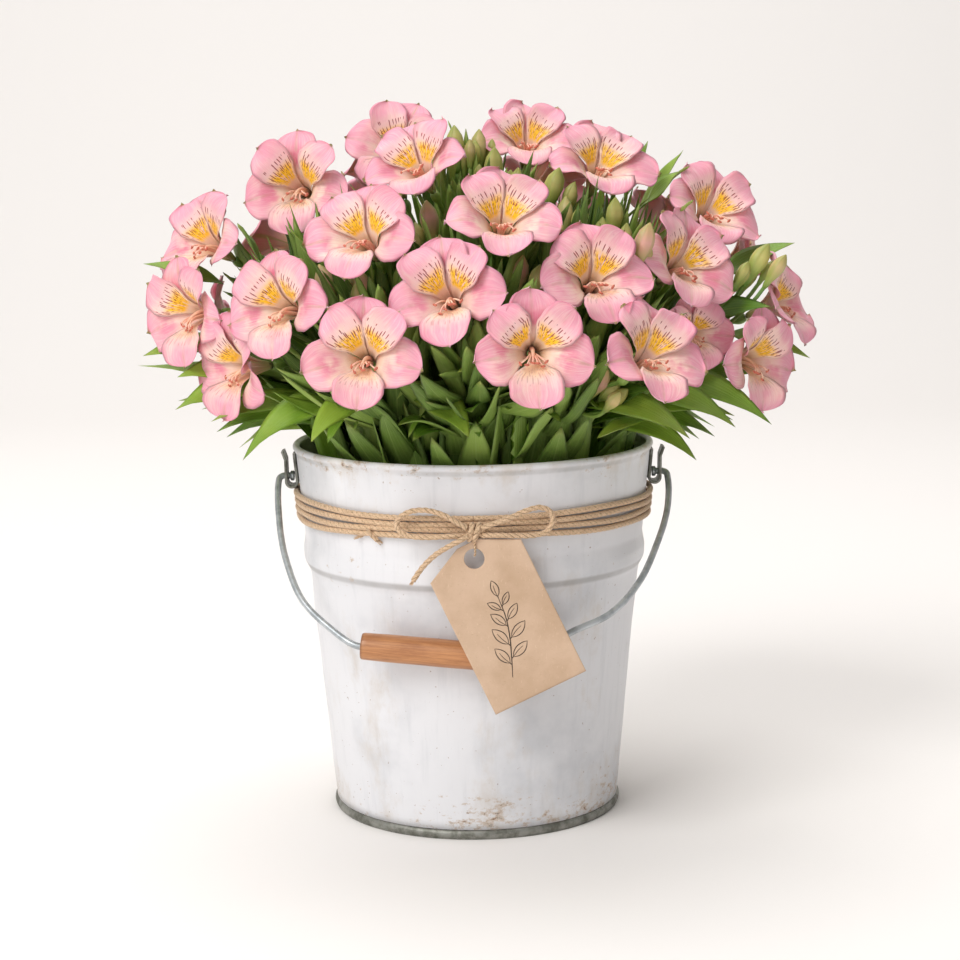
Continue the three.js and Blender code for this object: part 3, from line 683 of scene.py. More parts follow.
@dataclass(frozen=True)
class PetalFinish(Finish):
    """The face of a petal: a beige throat with painted shade deep at its foot, veined pink, a green stripe,
    yellow fingers and dark dashes.
    """

    # throat: the tepal's green-brown foot, darkened further as painted shade deep in the funnel
    throat: Colour = (0.33, 0.25, 0.10)
    beige: Colour = (0.84, 0.58, 0.36)
    pale: Colour = (0.96, 0.71, 0.575)
    blush: Colour = (0.77, 0.20, 0.31)
    pink: Colour = (0.90, 0.425, 0.50)
    rim: Colour = (0.86, 0.345, 0.465)
    blush_share: float = 0.5
    stripe_share: float = 0.5
    yellow_share: float = 0.0
    dash_share: float = 0.0
    yellow: Colour = (1.0, 0.56, 0.02)
    dash: Colour = (0.27, 0.013, 0.025)
    stripe: Colour = (0.42, 0.33, 0.14)

    @staticmethod
    def strokes(graph: Graph, across: Value, along: Value, cells: Pair,
                half: Pair) -> Value:
        """Short strokes along the petal, one in each cell of a loose grid.

        Args:
            graph: the material's graph.
            across: the map's number across the petal.
            along: the map's number along it.
            cells: how many cells the petal has across and along.
            half: half the width and length of a stroke, as shares of its cell.

        Returns:
            1 on a stroke and 0 beside it.
        """
        shift = graph.tint() * 37.0
        here = (across * cells[0] + shift, along * cells[1] + shift)
        inputs = {"Vector": graph.join(*here, 0.0), "Scale": 1.0, "Randomness": 0.75}
        cell = graph.node("ShaderNodeTexVoronoi", "Position", inputs, voronoi_dimensions="2D", feature="F1")
        gaps = [(place - middle) / reach for place, middle, reach in zip(here, cell.parts(), half)]
        return (gaps[0] * gaps[0] + gaps[1] * gaps[1]).fade(0.5, 1.2, 1, 0)

    def mark(self, graph: Graph, colour: Value, across: Value, along: Value, side: Value) -> Value:
        """Lays the yellow fingers and the dark dots and dashes over a colour.

        Args:
            graph: the material's graph.
            colour: the petal's colour.
            across: the map's number across the petal.
            along: the map's number along it.
            side: the distance from the middle line, 1 at the edge.

        Returns:
            The marked colour.
        """
        shift = graph.tint() * 30.0
        light = along.band(0.34, 0.44, 0.62, 0.84) * side.fade(0.5, 1.0, 1, 0.2)
        colour = graph.mix(light * (0.7 * self.dash_share), colour, (0.91, 0.62, 0.58))
        fingers = graph.join(across * 22.0, along * 5.0, shift).noise(1.0, 2)
        zone = along.band(0.33, 0.4, 0.53, 0.66) * side.fade(0.55, 1.0, 1, 0)
        glow = zone * fingers.fade(0.33, 0.47) * self.yellow_share
        colour = graph.mix(glow, colour, self.yellow)
        far = along.band(0.5, 0.55, 0.66, 0.76) * side.fade(0.75, 1.0, 1, 0)
        near = along.band(0.38, 0.43, 0.55, 0.62) * side.fade(0.7, 1.0, 1, 0)
        long = self.strokes(graph, across, along, (11.0, 7.0), (0.15, 0.42))
        small = self.strokes(graph, across, along, (15.0, 16.0), (0.17, 0.33))
        marks = graph.math("MAXIMUM", long * far.fade(0.2, 0.5), small * near.fade(0.2, 0.5) * 0.75)
        return graph.mix(marks * self.dash_share, colour, self.dash)

    def paint(self, graph: Graph) -> None:
        """Builds the petal's colours and its fine veins.

        Args:
            graph: the material's graph.
        """
        across, along = graph.across_along()
        side = across.side()
        tint = graph.tint()
        shift = tint * 30.0
        veins = graph.join(across * 50.0, along * 4.0, shift).noise(1.0, 3, 0.6)
        cloud = graph.join(across * 2.6, along * 3.6, shift).noise(1.0, 3, 0.5)
        patch = graph.place().noise(70.0, 2, 0.5)
        # the dark throat colour at the foot is partly painted shade deep in the funnel
        colour = along.ramp([(0.14, self.throat), (0.3, self.beige), (0.46, self.pale), (0.56, self.pale),
                             (0.8, self.pink), (1.0, self.rim)])
        wash = patch.fade(0.44, 0.64) * along.fade(1.0, 0.6, 0.1, 0.85)
        colour = graph.mix(wash, colour, self.pale)
        fold = along.band(0.44, 0.62, 0.72, 0.92) * side.fade(0.1, 0.8, 1, 0)
        blush = fold * cloud.fade(0.38, 0.6) * self.blush_share
        colour = graph.mix(blush, colour, self.blush)
        edge = side.fade(0.68, 1.0) * along.fade(0.45, 0.7) * 0.5
        colour = graph.mix(edge, colour, self.blush)
        lines = veins.fade(0.46, 0.66) * along.fade(0.3, 0.6) * 0.26
        colour = graph.mix(lines, colour, self.blush)
        colour = graph.mix(veins.fade(0.5, 0.36) * 0.3, colour, (0.97, 0.72, 0.67))
        colour = graph.mix(tint.fade(0.4, 1.0) * 0.25, colour, (0.78, 0.32, 0.43))
        middle = side.fade(0.13, 0.0, 0, 1) * along.fade(0.5, 0.95)
        broken = graph.join(across, along * 7.0, shift).noise(1.0, 2).fade(0.2, 0.75)
        colour = graph.mix(middle * broken * self.stripe_share, colour, self.stripe)
        if self.dash_share:
            colour = self.mark(graph, colour, across, along, side)
        colour = graph.mix(along.fade(0.985, 1.01), colour, (0.3, 0.26, 0.08))
        graph.surface(Base_Color=colour, Roughness=0.5, Specular_IOR_Level=0.35, Sheen_Weight=0.08,
                      Sheen_Roughness=0.5, Subsurface_Weight=0.15, Subsurface_Scale=0.0014,
                      Subsurface_Radius=(1.0, 0.45, 0.4), Normal=veins.bump(0.4, 0.3))


@dataclass(frozen=True)
class PetalBackFinish(Finish):
    """The outside of a petal: peach and green at its foot, pink above, with a green rib."""

    def paint(self, graph: Graph) -> None:
        """Builds the outside's colours.

        Args:
            graph: the material's graph.
        """
        across, along = graph.across_along()
        side = across.side()
        shift = graph.tint() * 30.0
        veins = graph.join(across * 40.0, along * 5.0, shift).noise(1.0, 3, 0.6)
        colour = along.ramp([(0.0, (0.26, 0.34, 0.08)), (0.12, (0.5, 0.44, 0.17)), (0.3, (0.82, 0.5, 0.33)),
                             (0.5, (0.86, 0.47, 0.45)), (0.8, (0.84, 0.4, 0.5)), (1.0, (0.86, 0.46, 0.56))])
        colour = graph.mix(veins.fade(0.45, 0.68) * 0.4, colour, (0.8, 0.32, 0.4))
        rib = side.fade(0.16, 0.03, 0, 1) * along.fade(1.0, 0.7, 0.3, 0.85)
        colour = graph.mix(rib * 0.7, colour, (0.42, 0.42, 0.15))
        graph.surface(Base_Color=colour, Roughness=0.55, Subsurface_Weight=0.2, Subsurface_Scale=0.0016,
                      Subsurface_Radius=(1.0, 0.45, 0.4), Normal=veins.bump(0.4, 0.3))


@dataclass(frozen=True)
class LeafFinish(Finish):
    """A leaf with parallel veins, each leaf in its own green; the darker greens given to leaves deep in the
    bunch are partly painted shade.
    """

    greens: Sequence[Colour]
    vein: Colour
    roughness: float = 0.42

    def paint(self, graph: Graph) -> None:
        """Builds the leaf's greens and veins.

        Args:
            graph: the material's graph.
        """
        across, along = graph.across_along()
        place = graph.place()
        tint = graph.tint()
        cloud = place.noise(55.0, 3)
        shade = tint + (cloud - 0.5) * 0.55
        count = len(self.greens) - 1
        colour = shade.ramp([(step / count, green) for step, green in enumerate(self.greens)])
        wave = across.ribs(9)
        ridge = wave.fade(0.55, 1.0)
        fine = graph.join(across * 90.0, along * 7.0, tint).noise(1.0, 2)
        colour = graph.mix(ridge * 0.14, colour, self.vein)
        colour = graph.mix(fine.fade(0.5, 0.7) * 0.18, colour, self.vein)
        side = across.side()
        colour = graph.mix(side.fade(0.07, 0.01, 0, 0.35), colour, self.vein)
        tip = along.fade(0.86, 1.0) * cloud.fade(0.4, 0.6) * 0.35
        colour = graph.mix(tip, colour, (0.42, 0.4, 0.1))
        relief = ridge * -0.6 + fine * 0.5
        graph.surface(Base_Color=colour, Roughness=self.roughness, Specular_IOR_Level=0.5,
                      Subsurface_Weight=0.08, Subsurface_Scale=0.0012,
                      Subsurface_Radius=(0.5, 1.0, 0.25), Normal=relief.bump(0.5, 0.3))


@dataclass(frozen=True)
class StalkFinish(Finish):
    """A smooth stalk or ovary with faint ridges along it."""

    light: Colour = (0.26, 0.38, 0.075)
    dark: Colour = (0.10, 0.22, 0.03)

    def paint(self, graph: Graph) -> None:
        """Builds ridges and a slow change of green.

        Args:
            graph: the material's graph.
        """
        across, _ = graph.across_along()
        cloud = graph.place().noise(60.0, 3)
        ridge = across.ribs(6)
        colour = graph.mix(cloud.fade(0.35, 0.65), self.light, self.dark)
        colour = graph.mix(ridge.fade(0.2, 1.0, 0, 0.25), colour, (0.36, 0.48, 0.12))
        graph.surface(Base_Color=colour, Roughness=0.45, Normal=ridge.bump(0.3, 0.15))


@dataclass(frozen=True)
class BudFinish(Finish):
    """A closed bud: green at its foot and along its seams, yellow-green to pink above."""

    def paint(self, graph: Graph) -> None:
        """Builds the bud's change of colour and its seams.

        Args:
            graph: the material's graph.
        """
        across, along = graph.across_along()
        tint = graph.tint()
        rib = across.ribs(3).fade(-0.2, 0.9)
        green = along.ramp([(0.0, (0.14, 0.28, 0.035)), (0.35, (0.34, 0.42, 0.09)), (0.7, (0.55, 0.5, 0.16)),
                            (1.0, (0.3, 0.32, 0.07))])
        rosy = along.ramp([(0.0, (0.2, 0.32, 0.05)), (0.3, (0.58, 0.46, 0.18)), (0.65, (0.78, 0.42, 0.34)),
                           (1.0, (0.52, 0.4, 0.14))])
        colour = graph.mix(tint.fade(0.3, 0.8), green, rosy)
        colour = graph.mix(rib * 0.4, colour, (0.25, 0.33, 0.06))
        graph.surface(Base_Color=colour, Roughness=0.48, Subsurface_Weight=0.1, Subsurface_Scale=0.0015,
                      Normal=rib.bump(0.5, 0.5))


@dataclass(frozen=True)
class FloorFinish(Finish):
    """A plain pale floor."""

    colour: Colour = (0.92, 0.895, 0.875)

    def paint(self, graph: Graph) -> None:
        """Builds the floor."""
        graph.surface(Base_Color=self.colour, Roughness=0.9, Specular_IOR_Level=0.1)


FINISHES: tuple[Finish, ...] = (
    PaintFinish(Coat.PAINT),
    MetalFinish(Coat.ZINC, (0.30, 0.30, 0.27), (0.13, 0.13, 0.105), 0.5, 0.55),
    MetalFinish(Coat.WIRE, (0.56, 0.59, 0.61), (0.36, 0.39, 0.41), 0.40, 0.6),
    WoodFinish(Coat.WOOD),
    TwineFinish(Coat.TWINE),
    KraftFinish(Coat.KRAFT),
    PlainFinish(Coat.INK, (0.045, 0.030, 0.022), (0.09, 0.06, 0.04), 0.6),
    WaterFinish(Coat.WATER),
    PetalFinish(Coat.OUTER, blush_share=0.9, stripe_share=0.55),
    PetalFinish(Coat.MARKED, blush_share=0.3, stripe_share=0.15, yellow_share=1.0, dash_share=0.92),
    PetalFinish(Coat.LOWER, blush_share=0.45, stripe_share=0.35, yellow_share=0.25, dash_share=0.3),
    PetalBackFinish(Coat.BACK),
    PlainFinish(Coat.FILAMENT, (0.90, 0.46, 0.36), (0.90, 0.60, 0.44), 0.5, 150.0),
    PlainFinish(Coat.ANTHER, (0.66, 0.19, 0.12), (0.46, 0.12, 0.08), 0.8, 900.0),
    LeafFinish(Coat.LEAF, ((0.035, 0.090, 0.008), (0.090, 0.195, 0.015), (0.175, 0.32, 0.024),
                           (0.33, 0.48, 0.055)), (0.28, 0.43, 0.07)),
    LeafFinish(Coat.LEAF_BACK, ((0.07, 0.13, 0.02), (0.14, 0.235, 0.036), (0.23, 0.35, 0.06),
                                (0.35, 0.46, 0.10)), (0.36, 0.48, 0.14), 0.55),
    StalkFinish(Coat.STALK),
    BudFinish(Coat.BUD),
    FloorFinish(Coat.FLOOR),
)
MATERIALS: dict[Coat, bpy.types.Material] = {}


def dressed(coat: Coat) -> bpy.types.Material:
    """The material of a coat, made when it is first asked for.

    Args:
        coat: the coat.

    Returns:
        Its material.
    """
    if coat not in MATERIALS:
        MATERIALS[coat] = next(finish for finish in FINISHES if finish.coat is coat).material()
    return MATERIALS[coat]


# ---------------------------------------- meshes


def band_quads(rings: int, sides: int, closed: bool = False) -> tuple[Array, Array]:
    """The faces between rings of points, and their maps.

    Args:
        rings: how many rings there are.
        sides: how many corners a ring has.
        closed: whether the last ring is joined to the first.

    Returns:
        The four corners of each face, and the map's two numbers at each of them, from 0 to 1.
    """
    bands = rings if closed else rings - 1
    ring, corner = np.mgrid[0:bands, 0:sides]
    steps = ((0, 0), (1, 0), (1, 1), (0, 1))
    quads = [(ring + r) % rings * sides + (corner + c) % sides for c, r in steps]
    maps = [np.stack([(corner + c) / sides, (ring + r) / bands], -1) for c, r in steps]
    return np.stack(quads, -1), np.stack(maps, 2)


class Skin:
    """The faces of one piece, gathered in millimetres and then made into a mesh."""

    def __init__(self) -> None:
        """Starts with no faces."""
        self.points: list[Array] = []
        self.tints: list[Array] = []
        self.faces: list[list[int]] = []
        self.maps: list[Array] = []
        self.coats: list[Coat] = []
        self.count = 0

    def add(self, points: Array, faces: Array, maps: Array, coat: Coat, tint: Array | float) -> None:
        """Adds points and their faces.

        Args:
            points: the points, one row each.
            faces: the numbers of each face's corners, in rows of any shape.
            maps: the map's two numbers for each corner of each face.
            coat: the finish of these faces.
            tint: the shade of the points.
        """
        self.points.append(points)
        self.tints.append(np.broadcast_to(np.asarray(tint, float), (len(points),)))
        self.link(faces.reshape(-1, faces.shape[-1]) + self.count, maps, coat)
        self.count += len(points)

    def link(self, faces: Array, maps: Array, coat: Coat) -> None:
        """Adds faces between points that are there already.

        Args:
            faces: the numbers of each face's corners.
            maps: the map's two numbers for each corner of each face.
            coat: the finish of these faces.
        """
        self.faces.extend(faces.tolist())
        self.maps.append(maps.reshape(-1, 2))
        self.coats.extend([coat] * len(faces))

    def shell(self, face: Array, lines: Array, thickness: float, coats: tuple[Coat, Coat],
              tint: float) -> None:
        """Adds a thin closed blade from the grid of its face, thick in the middle and sharp at its edge.

        Args:
            face: the grid of points, rows along the blade and columns across it.
            lines: the share along the blade of each row.
            thickness: its greatest thickness.
            coats: the finish of its face and of its back.
            tint: its shade.
        """
        rows, columns = face.shape[:2]
        normal = unit(np.cross(np.gradient(face, axis=0), np.gradient(face, axis=1)))
        back = face[1:-1, 1:-1] - normal[1:-1, 1:-1] * thickness
        front = np.arange(rows * columns).reshape(rows, columns)
        under = front.copy()
        under[1:-1, 1:-1] = rows * columns + np.arange((rows - 2) * (columns - 2)).reshape(rows - 2, -1)
        row, column = np.mgrid[0 : rows - 1, 0 : columns - 1]
        corners = ((0, 0), (1, 0), (1, 1), (0, 1))
        maps = np.stack([np.stack([(column + c) / (columns - 1), lines[row + r]], -1) for r, c in corners], 2)
        quads = np.stack([front[row + r, column + c] for r, c in corners], -1)
        start = self.count
        self.add(np.vstack([face.reshape(-1, 3), back.reshape(-1, 3)]), quads, maps, coats[0], tint)
        quads = np.stack([under[row + r, column + c] for r, c in corners[::-1]], -1).reshape(-1, 4)
        self.link(quads + start, maps[:, :, ::-1], coats[1])

    def tube(self, centres: Array, radii: Array | float, sides: int, coat: Coat, tint: float = 0.5,
             shape: Array | None = None, grooved: bool = False) -> None:
        """Adds a closed tube along points.

        Args:
            centres: the ring centres.
            radii: the radius at each ring, or one for all.
            sides: the number of corners of a ring.
            coat: its finish.
            tint: its shade.
            shape: a factor on the radius for each ring and corner.
            grooved: whether the tint follows the shape, low in its grooves, where the twine's finish paints
                shade.
        """
        count = len(centres)
        radii = np.broadcast_to(np.asarray(radii, float), (count,))
        along = unit(np.gradient(centres, axis=0))
        side = np.array([0.31, 0.95, 0.11])
        frames = np.empty((count, 2, 3))
        for ring in range(count):
            side = unit(side - along[ring] * (side @ along[ring]))
            frames[ring] = side, np.cross(along[ring], side)
        angle = ring_angles(sides)[None, :, None]
        spread = radii[:, None] * (np.ones((count, sides)) if shape is None else shape)
        points = centres[:, None] + spread[..., None] * (
            np.cos(angle) * frames[:, None, 0] + np.sin(angle) * frames[:, None, 1])
        points = np.vstack([points.reshape(-1, 3), centres[:1], centres[-1:]])
        tints = np.full(len(points), tint)
        if grooved:
            low, high = shape.min(), shape.max()
            tints[: count * sides] = ((shape - low) / (high - low)).ravel()
        start = self.count
        self.add(points, *band_quads(count, sides), coat, tints)
        corner = np.arange(sides)
        for base, hub, order in ((0, count * sides, -1), (count - 1, count * sides + 1, 1)):
            rim = base * sides + corner
            fan = np.stack([rim, base * sides + (corner + 1) % sides, np.full(sides, hub)], -1)
            maps = np.stack([np.stack([(corner + c) / sides, np.full(sides, base / (count - 1))], -1)
                             for c in (0, 1, 0.5)], 1)
            self.link(fan[:, ::order] + start, maps[:, ::order], coat)

    def turned(self, profile: Array, facets: int, coat: Coat,
               fit: Callable[[Array], Array] = np.asarray, along: Array | None = None) -> None:
        """Adds a body of revolution from a closed outline that runs up on its outer side.

        Args:
            profile: the outline's radius and height, closed by its own first point.
            facets: the number of faces round it.
            coat: its finish.
            fit: moves the points of the body, which is first made about the upright axis.
            along: the map's number along the body at each point of the outline.
        """
        quads, maps = band_quads(len(profile), facets, closed=True)
        if along is not None:
            maps[..., 1] = np.stack([along, np.roll(along, -1)], -1)[:, None, [0, 0, 1, 1]]
        points = fit(around(profile[:, None, 0], ring_angles(facets), profile[:, 1:]))
        self.add(points.reshape(-1, 3), quads, maps, coat, 0.5)

    def build(self, name: str, body: Body, slot: Slot, replaces: Sequence[str] = (),
              smooth: bool = True) -> bpy.types.Object:
        """Makes the mesh, dresses it and lets it ride.

        Args:
            name: the piece's name.
            body: the body that it rides on.
            slot: a material slot; not used.
            replaces: the solids that it stands for.
            smooth: whether its faces are shaded smooth.

        Returns:
            The object.
        """
        mesh = bpy.data.meshes.new(name)
        mesh.from_pydata((np.vstack(self.points) * MM).tolist(), [], self.faces)
        mesh.uv_layers.new(name="map").data.foreach_set("uv", np.vstack(self.maps).astype(np.float32).ravel())
        mesh.attributes.new("tint", "FLOAT", "POINT").data.foreach_set(
            "value", np.concatenate(self.tints).astype(np.float32))
        used = list(dict.fromkeys(self.coats))
        for coat in used:
            mesh.materials.append(dressed(coat))
        numbers = {coat: index for index, coat in enumerate(used)}
        mesh.polygons.foreach_set("material_index", [numbers[coat] for coat in self.coats])
        mesh.polygons.foreach_set("use_smooth", [smooth] * len(mesh.polygons))
        mesh.update()
        piece = bpy.data.objects.new(name, mesh)
        bpy.context.scene.collection.objects.link(piece)
        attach(piece, body.value)
        if replaces:
            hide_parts(*replaces)
        LOG.info("%s: %d faces", name, len(mesh.polygons))
        return piece


# ---------------------------------------- pail


@dataclass
class Pail:
    """The pail: wall, floor with its foot ring, two ears and the water."""

    height: float = 195.4
    rim_radius: float = 95.0
    roll: float = 1.9
    foot_radius: float = 76.6
    foot_height: float = 4.7
    floor_top: float = 3.8
    sheet: float = 1.0
    facets: int = 224
    dent: float = 0.26
    dent_radius: float = 85.0
    rows: Sequence[tuple[float, float, int]] = ((5.0, 118.0, 26), (121.0, 152.0, 46), (156.0, 190.2, 9))
    levels: Sequence[Pair] = (
        (75.5, 5.0), (82.5, 82.0), (85.4, 109.0), (86.5, 124.0), (87.3, 129.0), (90.2, 134.5),
        (90.4, 140.0), (89.2, 147.0), (93.3, 190.2))

    def radius(self, height: Array | float) -> Array | float:
        """Outer radius of the wall at a height."""
        radii, heights = zip(*self.levels)
        return np.interp(height, heights, radii)

    def soft_radius(self, height: Array) -> Array:
        """The same radius with the bead's corners rounded by the press.

        Args:
            height: the heights.

        Returns:
            The radius at each of them.
        """
        near = np.array([-1.4, -0.7, 0.0, 0.7, 1.4])
        share = np.array([1.0, 3.0, 4.0, 3.0, 1.0]) / 12.0
        return (self.radius(np.asarray(height)[:, None] + near) * share).sum(1)

    def dented(self, points: Array) -> Array:
        """Moves the wall in and out by the small dents of use.

        Args:
            points: the grid of the wall.

        Returns:
            The same grid with dents up to half a millimetre deep.
        """
        angle = np.arctan2(points[..., 0], -points[..., 1])
        level = points[..., 2]
        wave = (np.sin(3 * angle + level / 31) * np.sin(level / 23 + 1.1)
                + 0.6 * np.sin(7 * angle - level / 17 + 0.6) * np.sin(level / 12))
        fade = ease(8, 30, level) * (1 - ease(165, 186, level))
        moved = points.copy()
        moved[..., :2] *= (1 + self.dent * wave * fade / self.dent_radius)[..., None]
        return moved

    def wall(self) -> None:
        """Builds the wall with its bead and rolled rim."""
        heights = np.concatenate([np.linspace(*row) for row in self.rows])
        outer = np.stack([self.soft_radius(heights), heights], -1)
        outer[0, 0] = self.levels[0][0]
        middle = np.array([self.rim_radius - self.roll, self.height - self.roll])
        angles = np.radians(np.arange(-35.0, 215.0, 15.0))
        roll = middle + self.roll * np.stack([np.cos(angles), np.sin(angles)], -1)
        inner = np.stack([self.soft_radius(heights[::-1]) - self.sheet, heights[::-1]], -1)[2:]
        skin = Skin()
        skin.turned(np.vstack([outer, roll, inner]), self.facets, Coat.PAINT, self.dented)
        skin.build("painted_wall", Body.PAIL, Slot.PAINT, ["pail_wall"])

    def floor(self) -> None:
        """Builds the floor and the folded foot ring."""
        foot, top, high = self.foot_radius, self.floor_top, self.foot_height
        inside = top - self.sheet
        edge = np.radians(np.arange(-60.0, 75.0, 15.0))
        swell = 1.9 * np.sin(edge) / math.sin(math.radians(60)) * 0.85
        ring = np.stack([foot - 1.0 + np.cos(edge), high / 2 + swell], -1)
        below = [[0.05, inside], [40.0, inside], [foot - 4.2, inside], [foot - 3.6, inside - 0.4],
                 [foot - 3.2, 0.0], [foot - 0.8, 0.0]]
        above = [[foot - 0.9, high], [foot - 3.0, high], [foot - 4.0, top], [40.0, top], [0.05, top]]
        skin = Skin()
        skin.turned(np.vstack([below, ring, above]), self.facets, Coat.ZINC)
        skin.build("floor_and_foot_ring", Body.PAIL, Slot.ZINC, ["pail_floor"])

    @staticmethod
    def dress_water() -> None:
        """Dresses the solid of the water as it stands."""
        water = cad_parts["water"]
        water.data.materials.clear()
        water.data.materials.append(dressed(Coat.WATER))
        LOG.info("%s: %d faces, dressed as it stands", water.name, len(water.data.polygons))

    def build(self) -> None:
        """Builds the whole pail and dresses the water."""
        self.wall()
        self.floor()
        for side in (1, -1):
            Ear(self, side).build()
        self.dress_water()


@dataclass
class Ear:
    """A strip of sheet steel bent to a U, with soft edges and a punched hole for the bail."""

    pail: Pail
    side: int
    gap: float = 0.3
    strip: float = 1.5
    width: float = 12.0
    bottom: float = 174.5
    bend: float = 2.9
    inner_leg: Sequence[float] = (189.5, 184.0)
    outer_leg: Sequence[Pair] = ((0.1, 181.0), (0.2, 186.0), (1.8, 190.5))
    soft: float = 0.45
    hole_radius: float = 2.4
    hole_height: float = 177.0

    def leg(self, height: float) -> float:
        """Distance of the inner leg's middle from the pail's axis, at a height."""
        return float(self.pail.radius(height)) + (self.gap + self.strip / 2)

    def spine(self) -> Array:
        """The strip's middle line as radius and height: down the wall, round the bend and up outside."""
        middle = self.leg(self.bottom) + self.bend
        inner = [[self.leg(height), height] for height in self.inner_leg]
        turn = [[middle + self.bend * math.cos(angle), self.bottom + self.bend * math.sin(angle)]
                for angle in map(math.radians, range(180, 361, 12))]
        outer = [[middle + self.bend + out, height] for out, height in self.outer_leg]
        return np.array(inner + turn + outer)

    def section(self) -> list[Pair]:
        """The strip's section with its corners cut: distance off the spine, and sideways place."""
        half, corners = self.strip / 2, []
        for offset, end in ((half, -1), (half, 1), (-half, 1), (-half, -1)):
            reach = end * self.width / 2
            pair = [(offset, reach - end * self.soft), (offset - math.copysign(self.soft, offset), reach)]
            corners += pair if (offset > 0) == (end > 0) else pair[::-1]
        return corners

    def build(self) -> None:
        """Builds the strip, punches its hole and turns it to its side of the pail."""
        spine, section = self.spine(), self.section()
        along = unit(np.gradient(spine, axis=0))
        normal = np.stack([along[:, 1], -along[:, 0]], -1)
        grid = np.array([[[s[0] + n[0] * off, sideways, s[1] + n[1] * off] for off, sideways in section]
                         for s, n in zip(spine, normal)])
        count, sides = grid.shape[:2]
        skin = Skin()
        skin.add(grid.reshape(-1, 3), *band_quads(count, sides), Coat.ZINC, 0.5)
        ends = np.array([np.arange(sides), np.arange(count * sides - 1, (count - 1) * sides - 1, -1)])
        skin.link(ends, np.zeros((2, sides, 2)), Coat.ZINC)
        hand = "right" if self.side > 0 else "left"
        piece = skin.build(f"ear_strip_{hand}", Body.PAIL, Slot.ZINC, [f"ear_{hand}"], smooth=False)
        self.punch(piece)
        if self.side < 0:
            piece.data.transform(Matrix.Rotation(math.pi, 4, "Z"))

    def punch(self, piece: bpy.types.Object) -> None:
        """Cuts the round hole for the bail in the outer leg.

        Args:
            piece: the ear, as built on the right.
        """
        reach = self.leg(self.bottom) + self.bend + self.bend
        drill = Skin()
        ends = np.array([[reach + out, 0.0, self.hole_height] for out in (-3.0, 3.0)])
        drill.tube(ends, self.hole_radius, 24, Coat.ZINC)
        tool = drill.build("drill", Body.PAIL, Slot.ZINC)
        cut = piece.modifiers.new("hole", "BOOLEAN")
        cut.operation, cut.object, cut.solver = "DIFFERENCE", tool, "EXACT"
        bpy.context.view_layer.update()
        done = piece.evaluated_get(bpy.context.evaluated_depsgraph_get())
        made = bpy.data.meshes.new_from_object(done)
        piece.modifiers.clear()
        piece.data = made
        bpy.data.objects.remove(tool)


# ---------------------------------------- bail


